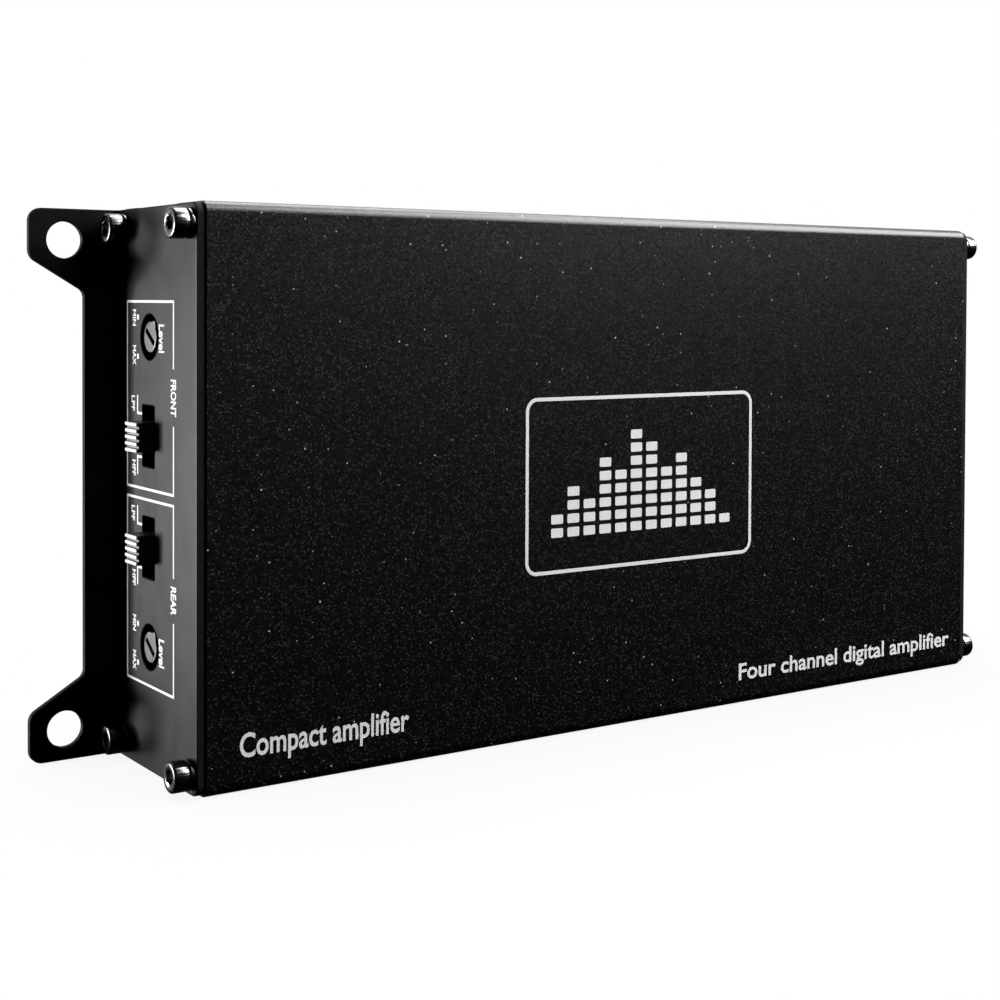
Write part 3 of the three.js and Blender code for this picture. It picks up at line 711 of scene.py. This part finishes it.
def make_housing():
    length = HOUSING_HIGH.x - HOUSING_LOW.x
    shape = slab(housing_outline(), [cavity_outline(), *screw_holes()], length, CUT_EDGE, steps=2)
    along = axes((0, 1, 0), (0, 0, 1), (1, 0, 0), (HOUSING_LOW.x, 0, 0))
    piece("housing_shell", placed(shape, along), [HOUSING_COAT],
          stands_for=["extruded_housing"], crease=50)


# ---- end panels


def unrolled(x):
    """Where a place on the flange lies in the panel's flat pattern."""
    return PANEL_RUN + BEND_RUN + BEND_X - x


def flat_pattern():
    """The end panel's outline before bending: a from the printed face's edge to the ear tips, b along Z."""
    tip = unrolled(PANEL_LOW.x)
    return rounded(mirrored([
        (0, PANEL_LOW.z, PANEL_CORNER),
        (tip, PANEL_LOW.z, EAR_CORNER),
        (tip, EAR_SHOULDER, EAR_CORNER),
        (unrolled(WEB_EDGE), EAR_ROOT, EAR_ROOT_RADIUS),
    ]), steps=10)


def bent(point):
    """A point of the flat pattern, its c counted from the outer surface, once the sheet is bent."""
    a, b, c = point
    angle = (a - PANEL_RUN) / NEUTRAL_RADIUS
    if angle <= 0:
        return PANEL_OUT + c, PANEL_LOW.y + a, b
    if angle >= pi / 2:
        return BEND_X - (a - PANEL_RUN - BEND_RUN), MOUNT_Y - SHEET + c, b
    return *polar(BEND_RADIUS + c, angle, BEND_X, BEND_Y), b


def end_panel(cutouts):
    """An end panel with cut-outs in Y and Z, bent from its flat pattern."""
    ears = [circle(unrolled(EAR_HOLE_X), z, EAR_HOLE_RADIUS, segments=64)
            for z in (EAR_HOLE_INSET, BODY_WIDTH - EAR_HOLE_INSET)]
    cutouts = [[Vector((y - PANEL_LOW.y, z)) for y, z in hole] for hole in screw_holes() + cutouts]
    shape = slab(flat_pattern(), ears + cutouts, SHEET, SHEET_EDGE, edge_look=1)
    for k in range(BEND_CUTS + 1):
        everything = [*shape.verts, *shape.edges, *shape.faces]
        where = (PANEL_RUN + BEND_RUN * k / BEND_CUTS, 0, 0)
        bmesh.ops.bisect_plane(shape, geom=everything, plane_co=where, plane_no=(1, 0, 0))
    for vertex in shape.verts:
        vertex.co = bent(vertex.co)
    return facing_out(shape)


def control_cutouts():
    cutouts = [circle(place.y, place.z, LEVEL_HOLE_RADIUS, segments=64) for place in LEVELS.values()]
    width, length = FILTER_SLOT
    for place in FILTERS.values():
        cutouts.append(rectangle(around(place.y, width), around(place.z, length), FILTER_SLOT_CORNER))
    return cutouts


def turned_box(node):
    """A connector-end node's corners in the turned frame."""
    low, high = node_box(node)
    return Vector((-high.x, low.y, BODY_WIDTH - high.z)), Vector((-low.x, high.y, BODY_WIDTH - low.z))


def round_cutout(node, radius, segments):
    low, high = turned_box(node)
    centre = (low + high) / 2
    return circle(centre.y, centre.z, radius, segments)


def square_cutout(low, high):
    return rectangle(wider(low.y, high.y), wider(low.z, high.z), CUTOUT_CORNER)


def connector_cutouts():
    """A hole for each socket and for the lamp, one window for both headers, and one for the fuse."""
    power_low, power_high = turned_box("power_header")
    speaker_high = turned_box("speaker_header")[1]
    return [
        *(round_cutout(f"rca_sleeve_{number}", RCA_HOLE_RADIUS, segments=48) for number in CORNERS),
        square_cutout(power_low, Vector((power_high.x, speaker_high.y, power_high.z))),
        square_cutout(*turned_box("blade_fuse")),
        round_cutout("power_led", LED_HOLE_RADIUS, segments=32),
    ]


def make_panels():
    near = end_panel(control_cutouts())
    far = placed(end_panel(connector_cutouts()), TURN)
    for end, shape in (("control", near), ("connector", far)):
        piece(f"{end}_panel_sheet", shape, [PANEL_PAINT, EDGE_PAINT],
              stands_for=[f"{end}_end_panel"])


# ---- screws and washers

OUTWARDS = ((0, 0, 1), (0, 1, 0), (-1, 0, 0))  # where a turned solid's axes point at the control end
HEAD_EDGE = ((0, 0.42), (0.05, 0.26), (0.16, 0.12), (0.32, 0.04))  # (below the top, inside the rim)
HEAD_FOOT = ((0.2, 0.05), (0.06, 0.14), (0, 0.26))  # (above the underside, inside the rim)


def hexagon(flats):
    """A hexagon's radius by angle."""
    def radius(angle):
        sixth = pi / 3
        return flats / 2 / cos((angle + sixth / 2) % sixth - sixth / 2)
    return radius


def knurled(radius):
    def reach(angle):
        return radius - KNURL_DEPTH * (0.5 - 0.5 * cos(KNURLS * angle))
    return reach


def cap_screw(radius, height, shank_length):
    """A socket head cap screw about c: the head's underside at 0, the head above it."""
    floor = height - SOCKET_DEPTH
    socket = hexagon(HEX_FLATS)
    mouth = HEX_FLATS / sqrt(3) + SOCKET_CHAMFER
    profile = [
        (floor - CONE_DEPTH, 0),
        (floor, CONE_RADIUS),
        (floor, socket),
        (height - LIP_DEPTH - SOCKET_CHAMFER, socket),
        (height - LIP_DEPTH, mouth),
        (height, mouth + LIP_WIDTH),
        *((height - below, radius - inside) for below, inside in HEAD_EDGE),
        *((level, knurled(radius)) for level in (height - KNURL_TOP, KNURL_FOOT)),
        *((above, radius - inside) for above, inside in HEAD_FOOT),
        (0, SHANK_RADIUS + SHANK_FILLET),
        (-SHANK_FILLET, SHANK_RADIUS),
        (TIP_LENGTH - shank_length, SHANK_RADIUS),
        (-shank_length, SHANK_RADIUS - TIP_INSET),
        (-shank_length, 0),
    ]
    return turned_solid(profile, KNURLS * KNURL_STEPS)


def split_washer(inner, outer, thickness):
    """A spring lock washer, cut through slantwise, its ends a little apart along the axis."""
    steps = 60
    gap = radians(9)
    slant = radians(7)
    spring = 0.12
    edge = 0.12
    outline = rectangle((inner, outer), (0, thickness - spring), edge, steps=3)
    rings = []
    for k in range(steps + 1):
        share = k / steps
        ring = []
        for radius, height in outline:
            lean = slant * (height / thickness - 0.5)
            angle = gap / 2 + lean + share * (2 * pi - gap)
            ring.append((*polar(radius, angle), height + spring * share))
        rings.append(ring)
    return loft(rings)


def make_fasteners():
    for end, box, turn in (("control_end", node_box, Matrix()), ("connector_end", turned_box, TURN)):
        for number in CORNERS:
            low, high = box(f"{end}_washer_{number}")
            screw_low, screw_high = box(f"{end}_screw_{number}")
            centre = (low + high) / 2
            radius = (high.z - low.z) / 2
            washer = split_washer(SHANK_RADIUS + WASHER_PLAY, radius, high.x - low.x)
            screw = cap_screw(radius, low.x - screw_low.x - HEAD_GAP, screw_high.x - low.x)
            for name, node, shape, x, roll in (
                ("lock_washer", "washer", washer, high.x, WASHER_ROLL * number + WASHER_START),
                ("cap_screw", "screw", screw, low.x - HEAD_GAP, SCREW_ROLL * number),
            ):
                seat = turn @ axes(*OUTWARDS, (x, centre.y, centre.z)) @ rolled(roll)
                piece(f"{end}_{name}_{number}", placed(shape, seat), [BLACK_NICKEL],
                      stands_for=[f"{end}_{node}_{number}"])


# ---- controls


def level_shaft(depth):
    """A level control's shaft about c, its outer end at 0, with the pointer on +a."""
    spread = radians(POINTER_SPREAD)
    inset, side = POINTER_NUB
    nub = [(POINTER_RADIUS - inset, side), (POINTER_RADIUS, 0.0), (POINTER_RADIUS - inset, -side)]
    steps = 60
    rest = 2 * pi - 2 * spread
    round_part = [polar(SHAFT_RADIUS, -spread - rest * k / steps) for k in range(steps + 1)]
    cap = slab([Vector(point) for point in nub + round_part], [], POINTER_DEPTH, POINTER_EDGE)
    start, radius = POINTER_DEPTH - STEM_OVERLAP, SHAFT_RADIUS - STEM_PLAY
    stem = turned_solid([(start, 0), (start, radius), (depth, radius), (depth, 0)], segments=48)
    length, width, slot_depth = DRIVER_SLOT
    slot = rectangle(around(0, width), around(0, length), DRIVER_SLOT_CORNER)
    cutter = slab(slot, [], slot_depth + CUT_OVER)
    return cut(joined([cap, stem]), placed(cutter, Matrix.Translation((0, 0, -CUT_OVER))))


def make_level_shafts():
    inwards = axes((0, 0, 1), (0, -1, 0), (1, 0, 0))
    for body, place in LEVELS.items():
        low, high = node_box(f"{body}_shaft")
        seat = Matrix.Translation((low.x, place.y, place.z)) @ inwards @ rolled(POINTER_DEG)
        piece(f"{body}_control_shaft", placed(level_shaft(high.x - low.x), seat), [SHAFT_PLASTIC],
              body=body, stands_for=[f"{body}_shaft"])


def filter_knob(low, high):
    """A slide knob, its ribs across the travel at the outer end."""
    pitch = (high.z - low.z) / (KNOB_RIBS - 1 + RIB_SHARE)
    rib = pitch * RIB_SHARE
    root_x = low.x + RIB_HEIGHT
    corners = [(high.x, high.z, KNOB_CORNER), (high.x, low.z, KNOB_CORNER)]
    for k in range(KNOB_RIBS):
        start = low.z + k * pitch
        corners += [(low.x, start, RIB_CREST), (low.x, start + rib, RIB_CREST)]
        if k < KNOB_RIBS - 1:
            corners += [(root_x, start + rib, RIB_ROOT), (root_x, start + pitch, RIB_ROOT)]
    shape = slab(rounded(corners, steps=4), [], high.y - low.y, KNOB_EDGE)
    return placed(shape, axes((1, 0, 0), (0, 0, 1), (0, 1, 0), (0, low.y, 0)))


def make_filter_knobs():
    for body in FILTERS:
        shape = filter_knob(*node_box(f"{body}_knob"))
        piece(f"{body}_slider", shape, [KNOB], body=body, stands_for=[f"{body}_knob"])


# ---- print

# Frames round the channels' controls: title, its width and start, the frame's Z range and its gap
CHANNELS = (
    ("FRONT", 6.75, 74.0, (53.0, 88.1), (65.5, 75.9)),
    ("REAR", 5.2, 36.4, (16.3, 51.05), (29.7, 37.9)),
)
TITLE_HEIGHT = 2.2
TITLE_BOLD = 0.03
TITLE_Y = -7.8
FRAME_Y = (-8.9, 12.9)
LINE = 0.48

# Words beside a control: width, capital height, boldness, Y, and the start's height above the control
LEVEL_WORDS = (
    ("Level", 5.2, 2.3, 0.025, -2.3, 2.4),
    ("MIN", 3.1, 1.5, 0.022, 10.2, 5.1),
    ("MAX", 3.7, 1.5, 0.022, 10.2, -1.7),
)
FILTER_WORDS = (
    ("LPF", 2.9, 1.5, 0.022, 10.8, 7.3),
    ("HPF", 3.0, 1.5, 0.022, 10.4, -4.9),
)
LEVEL_TICK = (0.8, 0.95)
LEVEL_TICK_Y = 7.7
LEVEL_TICK_RISES = (3.65, -3.75)
BRACKET_Y = (5.8, 7.9)
BRACKET_RISES = (4.1, 7.5)

# The badge is a plain level meter in a rounded frame
BADGE_X = (-30.6, 30.2)
BADGE_Z = (33.3, 69.1)
BADGE_LINE = 0.75
BADGE_RADIUS = 2.8
METER_HEIGHTS = (2, 4, 3, 6, 5, 8, 7, 5, 6, 4, 3, 1)
METER_PITCH = (4.1, 2.75)
METER_BAR = (3.0, 1.9)
METER_BAR_CORNER = 0.3

# Words on the face: width, capital height, and where they start in X and Z
FACE_WORDS = (
    ("Compact amplifier", 35.4, 4.2, -93.0, 6.5),
    ("Four channel digital amplifier", 68.3, 3.5, 26.9, 5.5),
)
FACE_BOLD = 0.018


def letters(words, bold=0.0):
    """Words as a closed shape of size 1, 1 thick, with its height and width."""
    half_depth = 0.5
    curve = bpy.data.curves.new("letters", "FONT")
    curve.body = words
    curve.offset = bold
    curve.resolution_u = 4
    curve.extrude = half_depth
    shape = evaluated(linked("letters", curve))
    bpy.data.curves.remove(curve)
    bmesh.ops.remove_doubles(shape, verts=shape.verts, dist=1e-5)
    xs, ys, _ = zip(*(vertex.co for vertex in shape.verts))
    bmesh.ops.translate(shape, vec=(-min(xs), 0, half_depth), verts=shape.verts)
    return shape, max(ys), max(xs) - min(xs)


CAPITAL = letters("H")[1]


def printed(words, width, height, place, bold):
    """Words of a given width and capital height in ink, laid where place says."""
    shape, _, made_width = letters(words, bold)
    scale = Matrix.Diagonal((width / made_width, height / CAPITAL, INK + SUNK, 1))
    return placed(shape, place @ scale)


def on_panel(y, z):
    """The place of print that starts at z, reads downwards and stands on y, sunk in the control panel."""
    return axes((0, 0, -1), (0, -1, 0), (-1, 0, 0), (PANEL_OUT + SUNK, y, z))


def on_face(x, z):
    return axes((1, 0, 0), (0, 0, 1), (0, -1, 0), (x, FACE_Y + SUNK, z))


def panel_line(y_range, z_range):
    shape = slab(rectangle(y_range, z_range), [], INK + SUNK)
    return placed(shape, axes((0, 1, 0), (0, 0, 1), (1, 0, 0), (PANEL_OUT - INK, 0, 0)))


def channel_frame(z_range, gap):
    """The frame round one channel's controls, open where its title stands."""
    (y0, y1), (z0, z1) = FRAME_Y, z_range
    half = LINE / 2
    across = (y0 - half, y1 - half)
    return [
        panel_line(around(y1, LINE), (z0 - half, z1 + half)),
        panel_line(across, around(z0, LINE)),
        panel_line(across, around(z1, LINE)),
        panel_line(around(y0, LINE), (z0 + half, gap[0])),
        panel_line(around(y0, LINE), (gap[1], z1 - half)),
    ]


def words_beside(table, z):
    return [printed(words, width, height, on_panel(y, z + rise), bold)
            for words, width, height, bold, y, rise in table]


def level_scale(z):
    """The print round a level control at height z."""
    width, height = LEVEL_TICK
    ticks = [panel_line(around(LEVEL_TICK_Y, width), around(z + rise, height)) for rise in LEVEL_TICK_RISES]
    return words_beside(LEVEL_WORDS, z) + ticks


def filter_scale(z):
    """The print beside a filter switch at height z, with a bracket to each end of its travel."""
    slot_side, stem = BRACKET_Y
    reach, end = BRACKET_RISES
    half = LINE / 2
    shapes = words_beside(FILTER_WORDS, z)
    for way in (1, -1):
        shapes.append(panel_line(around(stem, LINE), sorted((z + way * (reach - half), z + way * end))))
        shapes.append(panel_line((slot_side, stem - half), around(z + way * reach, LINE)))
    return shapes


def make_panel_print():
    shapes = []
    for _, _, _, z_range, gap in CHANNELS:
        shapes += channel_frame(z_range, gap)
    for title, width, start, _, _ in CHANNELS:
        shapes.append(printed(title, width, TITLE_HEIGHT, on_panel(TITLE_Y, start), TITLE_BOLD))
    for place in LEVELS.values():
        shapes += level_scale(place.z)
    for place in FILTERS.values():
        shapes += filter_scale(place.z)
    piece("control_labels", joined(shapes), [WHITE_INK])


def badge():
    inner = [wider(*BADGE_X, gap=-BADGE_LINE), wider(*BADGE_Z, gap=-BADGE_LINE)]
    opening = rectangle(*inner, BADGE_RADIUS - BADGE_LINE, steps=10)
    shapes = [slab(rectangle(BADGE_X, BADGE_Z, BADGE_RADIUS, steps=10), [opening], INK + SUNK)]
    columns, rows = len(METER_HEIGHTS), max(METER_HEIGHTS)
    middle_x, middle_z = sum(BADGE_X) / 2, sum(BADGE_Z) / 2
    for column, height in enumerate(METER_HEIGHTS):
        x = middle_x + (column - (columns - 1) / 2) * METER_PITCH[0]
        for row in range(height):
            z = middle_z + (row - (rows - 1) / 2) * METER_PITCH[1]
            bar = rectangle(around(x, METER_BAR[0]), around(z, METER_BAR[1]), METER_BAR_CORNER, steps=3)
            shapes.append(slab(bar, [], INK + SUNK))
    return placed(joined(shapes), on_face(0, 0))


def make_face_print():
    shapes = [badge()]
    for words, width, height, x, z in FACE_WORDS:
        shapes.append(printed(words, width, height, on_face(x, z), FACE_BOLD))
    piece("face_print", joined(shapes), [GREY_INK])


# ---- connectors

# Profiles: back from the open end, and away from the bore or the outside
SLEEVE_MOUTH = ((0.25, 0), (0.07, 0.07), (0, 0.25))
SLEEVE_RIM = ((0, 0.35), (0.07, 0.15), (0.25, 0.08), (1.3, 0.08))
SLEEVE_GROOVE = ((1.4, 0.2), (1.7, 0.2), (1.8, 0))
CORE_EDGE = ((0.25, 0), (0.07, 0.07), (0, 0.3), (0, 0.7), (0.3, 0.95))
CORE_MOUTH = ((0.3, 0.35), (0.6, 0))

# Each header: its pins in columns and rows, and a pin's width and thickness
HEADERS = (
    ("speaker", 4, 2, (1.0, 1.0)),
    ("power", 3, 1, (3.4, 0.9)),
)

# The fuse body's sections: back from its face, in from its box in Y and Z, corner radius
FUSE_SECTIONS = (
    (0.7, (3.4, 1.3), 0.3),
    (0.1, (3.0, 1.0), 0.4),
    (0.0, (2.7, 0.8), 0.5),
    (0.0, (0.35, 0.3), 0.7),
    (0.3, (0.0, 0.0), 0.8),
    (3.2, (0.0, 0.0), 0.8),
    (3.6, (0.9, 0.5), 0.5),
    (FUSE_BODY, (0.9, 0.5), 0.5),
)


def rca_sleeve(outer, inner, length):
    """A plated sleeve about c, its open mouth at length, its rim rolled, with a groove behind the rim."""
    profile = [
        (0, inner),
        *((length - back, inner + out) for back, out in SLEEVE_MOUTH),
        *((length - back, outer - deep) for back, deep in SLEEVE_RIM + SLEEVE_GROOVE),
        (0, outer),
    ]
    return turned_solid(profile, segments=72, closed=True)


def rca_core(outer, hole, length):
    """The insulator inside a sleeve, with a dished face and a countersunk hole for the pin."""
    profile = [
        (0, 0),
        (0, outer),
        *((length - back, outer - inside) for back, inside in CORE_EDGE),
        *((length - back, hole + out) for back, out in CORE_MOUTH),
        (CORE_FLOOR, hole),
        (CORE_FLOOR, 0),
    ]
    return turned_solid(profile, segments=64)


def seated(node):
    """Where a round part of the connector end sits, its length and its radius."""
    low, high = turned_box(node)
    centre = (low + high) / 2
    return TURN @ axes(*OUTWARDS, (high.x, centre.y, centre.z)), high.x - low.x, (high.z - low.z) / 2


def make_rca_sockets():
    for number in CORNERS:
        seat, length, outer = seated(f"rca_sleeve_{number}")
        inner = outer - SLEEVE_WALL
        piece(f"rca_shell_{number}", placed(rca_sleeve(outer, inner, length), seat), [NICKEL],
              stands_for=[f"rca_sleeve_{number}"])
        core = rca_core(inner - CORE_PLAY, CORE_HOLE_RADIUS, seated(f"rca_core_{number}")[1])
        colour, slot = (RED_PLASTIC, "red_plastic") if number % 2 else (WHITE_PLASTIC, "white_plastic")
        piece(f"rca_insulator_{number}", placed(core, seat), [colour],
              stands_for=[f"rca_core_{number}"])


def header_pin(x_range, y, z, size):
    """A contact pin along X, tapered towards its tip at the low end."""
    taper, tip_share = PIN_TAPER
    tip, base = x_range
    rings = []
    for x, share in ((tip, tip_share), (tip + taper, 1.0), (base, 1.0)):
        ranges = [around(place, side * share) for place, side in zip((y, z), size)]
        rings.append([(x, a, b) for a, b in rectangle(*ranges, PIN_CORNER * share, steps=2)])
    return coloured(loft(rings), 1)


def shrouded_header(low, high, columns, rows, pin):
    """A header in the turned frame: a shroud open towards -X, keyed inside, with its pins."""
    outer = ((low.y, high.y), (low.z, high.z))
    inner = [wider(*span, gap=-SHROUD_WALL) for span in outer]
    cavity_end = low.x + CAVITY_DEPTH
    sections = (
        (high.x, outer, SHROUD_EDGE, SHROUD_CORNER - SHROUD_EDGE),
        (high.x - SHROUD_EDGE, outer, 0, SHROUD_CORNER),
        (low.x + SHROUD_LIP, outer, 0, SHROUD_CORNER),
        (low.x, outer, SHROUD_LIP, SHROUD_CORNER - SHROUD_LIP),
        (low.x, inner, -SHROUD_LEAD, CAVITY_CORNER + SHROUD_LIP),
        (low.x + SHROUD_LEAD, inner, 0, CAVITY_CORNER),
        (cavity_end, inner, 0, CAVITY_CORNER),
    )
    shapes = [loft([section(x, ranges, (inset, inset), radius) for x, ranges, inset, radius in sections])]
    centre = (low + high) / 2
    for side, inwards in zip(inner[1], (KEY_REACH, -KEY_REACH)):
        key = sorted((side - inwards / 4, side + inwards))
        run = (low.x + KEY_SET_BACK, cavity_end + 0.1)
        shapes.append(block(run, around(centre.y, KEY_WIDTH), key, KEY_EDGE))
    column_pitch = (high.z - low.z) / columns * PIN_SPREAD
    for column in range(columns):
        z = centre.z + (column - (columns - 1) / 2) * column_pitch
        for row in range(rows):
            y = centre.y + (row - (rows - 1) / 2) * PIN_ROW_PITCH
            shapes.append(header_pin((low.x + PIN_SET_BACK, cavity_end + 0.3), y, z, pin))
    return joined(shapes)


def make_headers():
    for name, columns, rows, pin in HEADERS:
        low, high = turned_box(f"{name}_header")
        shape = shrouded_header(low, high, columns, rows, pin)
        piece(f"{name}_plug_header", placed(shape, TURN), [BLACK_PLASTIC, TIN],
              stands_for=[f"{name}_header"])


def make_fuse():
    """A blade fuse: a tinted body with a recessed back, two test windows and its two blades."""
    low, high = turned_box("blade_fuse")
    ranges = ((low.y, high.y), (low.z, high.z))
    centre = (low + high) / 2
    shapes = [loft([section(low.x + back, ranges, insets, radius) for back, insets, radius in FUSE_SECTIONS])]
    metal_parts = (
        ((low.x + FUSE_BODY - BLADE_ROOT, high.x), *FUSE_BLADE),
        ((low.x - WINDOW_PROUD, low.x + WINDOW_DEPTH), *FUSE_WINDOW),
    )
    for side in (-1, 1):
        for x_range, place, width, thickness, edge in metal_parts:
            y_range = around(centre.y + side * place, width)
            shapes.append(coloured(block(x_range, y_range, around(centre.z, thickness), edge), 1))
    piece("fuse_body", placed(joined(shapes), TURN), [AMBER, TIN],
          stands_for=["blade_fuse"])


def make_led():
    """The power lamp: a round collar and a domed lens."""
    seat, length, collar = seated("power_led")
    profile = [(0, 0), (0, collar), (LED_COLLAR, collar), (LED_COLLAR, LED_RADIUS)]
    for turn in quarter_turn(LED_DOME_STEPS)[:-1]:
        profile.append((length - LED_RADIUS + LED_RADIUS * sin(turn), LED_RADIUS * cos(turn)))
    profile.append((length, 0))
    piece("indicator_lens", placed(turned_solid(profile, segments=40), seat), [BLUE_LENS],
          stands_for=["power_led"])


# ---- CAD nodes that stay


def finish_cad_nodes():
    """The pieces whose CAD shape is kept get their finishes."""
    finishes = (
        (BLACK_PLASTIC, ("pot", "switch", "rca_block", "fuse_holder")),
        (LAMINATE, ("board",)),
        (COPPER, ("toroid",)),
        (CAN_SLEEVE, ("capacitor",)),
        (FERRITE, ("inductor",)),
        (CHIP_EPOXY, ("chip", "transistor")),
        (PAD_GREY, ("heat_pad",)),
        (ALUMINIUM, ("clamp_bar",)),
        (BLACK_NICKEL, ("clamp_screw",)),
    )
    for name, node in frame["nodes"].items():
        for look, parts in finishes:
            if any(part in name for part in parts):
                node.material_slots[0].material = look


# ---- stage, lights and camera

CAMERA_PLACE = (-222.7, -291.1, 88.5)
CAMERA_HEADING = 34.37
CAMERA_PITCH = -1.2
CAMERA_ROLL = 0.24
CAMERA_LENS = 60.15
CAMERA_SHIFT = -0.1642

# Softboxes: where each stands and points, its side and its watts
SOFTBOXES = {
    "overhead_softbox": ((450, 305, 1200), (0, -20, 60), 790, 20.0),
    "front_key": ((450, -306, 523), (0, -20, 60), 560, 17.0),
    "left_softbox": ((-610, 490, 0), (-100, 0, 50), 260, 8.0),
}

# The world's light on the object: ranges of direction along Y and Z, each with its strength
WHITE = (1, 1, 1)
WALL_LIGHT = ((-0.05, 0.6), (0.02, 0.7))
GROUND_LIGHT = ((-0.35, 0.1), (0.05, 1.0))

# The floor: its reach, its gap under the amplifier, and its painted shadow's shade by how open it lies
FLOOR_REACH = 3000
FLOOR_GAP = 0.02
SHADOW_REACH = 50
SHADOW_SAMPLES = 16
SHADOW_SHADES = ((0.0, 0.95), (0.88, 1.0))


def aimed(name, data, place, direction):
    """A camera or light at its place, looking along the direction."""
    made = linked(name, data)
    made.location = Vector(place) * MM
    made.rotation_mode = "QUATERNION"
    made.rotation_quaternion = direction.to_track_quat("-Z", "Y")
    return made


def make_camera():
    heading, pitch = radians(CAMERA_HEADING), radians(CAMERA_PITCH)
    level = cos(pitch)
    ahead = Vector((sin(heading) * level, cos(heading) * level, sin(pitch)))
    data = bpy.data.cameras.new("camera")
    data.lens = CAMERA_LENS
    data.shift_y = CAMERA_SHIFT
    data.clip_start = 0.01
    camera = aimed("camera", data, CAMERA_PLACE, ahead)
    camera.rotation_quaternion @= Quaternion((0, 0, 1), radians(CAMERA_ROLL))
    SCENE.camera = camera


def make_lights():
    for name, (place, target, side, watts) in SOFTBOXES.items():
        data = bpy.data.lights.new(name, "AREA")
        data.size = side * MM
        data.energy = watts
        light = aimed(name, data, place, Vector(target) - Vector(place))
        light.visible_camera = False


def make_world():
    """White to the camera. To the object, a bright wall behind, and darkness in front and below."""
    world = bpy.data.worlds.new("studio")
    world.use_nodes = True
    SCENE.world = world
    tree = world.node_tree
    tree.nodes.clear()
    direction = new_node(tree, "ShaderNodeTexCoord").outputs["Generated"]
    along = new_node(tree, "ShaderNodeSeparateXYZ", {"Vector": direction}).outputs
    levels = {0: mapped(tree, along["Y"], *WALL_LIGHT), 1: mapped(tree, along["Z"], *GROUND_LIGHT)}
    strength = new_node(tree, "ShaderNodeMath", levels, operation="MULTIPLY").outputs[0]
    lighting = new_node(tree, "ShaderNodeBackground", {"Color": WHITE, "Strength": strength}).outputs[0]
    seen = new_node(tree, "ShaderNodeBackground", {"Color": WHITE}).outputs[0]
    to_camera = new_node(tree, "ShaderNodeLightPath").outputs["Is Camera Ray"]
    shown = new_node(tree, "ShaderNodeMixShader", {"Fac": to_camera, 1: lighting, 2: seen}).outputs[0]
    new_node(tree, "ShaderNodeOutputWorld", {"Surface": shown})


def make_floor():
    """A pale floor, seen by the camera alone, that glows white, with a soft contact shadow under the
    amplifier painted into its glow by ambient occlusion.
    """
    shape = bmesh.new()
    bmesh.ops.create_grid(shape, x_segments=1, y_segments=1, size=FLOOR_REACH * MM)
    floor = linked("floor", as_mesh(shape, "floor"))
    floor.location.z = -FLOOR_GAP * MM
    for ray in ("diffuse", "glossy", "transmission", "shadow"):
        setattr(floor, f"visible_{ray}", False)
    material = bpy.data.materials.new("floor")
    material.use_nodes = True
    tree = material.node_tree
    tree.nodes.clear()
    nearness = {"Distance": SHADOW_REACH * MM}
    openness = new_node(tree, "ShaderNodeAmbientOcclusion", nearness, samples=SHADOW_SAMPLES).outputs["AO"]
    # painted shadow: the glow is darkened where ambient occlusion finds the amplifier close
    shade = mapped(tree, openness, *SHADOW_SHADES, kind="LINEAR")
    glow = new_node(tree, "ShaderNodeEmission", {"Strength": shade}).outputs[0]
    new_node(tree, "ShaderNodeOutputMaterial", {"Surface": glow})
    floor.data.materials.append(material)


SCENE.view_settings.view_transform = "Standard"
make_housing()
make_panels()
make_fasteners()
make_level_shafts()
make_filter_knobs()
make_panel_print()
make_face_print()
make_rca_sockets()
make_headers()
make_fuse()
make_led()
finish_cad_nodes()
make_camera()
make_lights()
make_world()
make_floor()
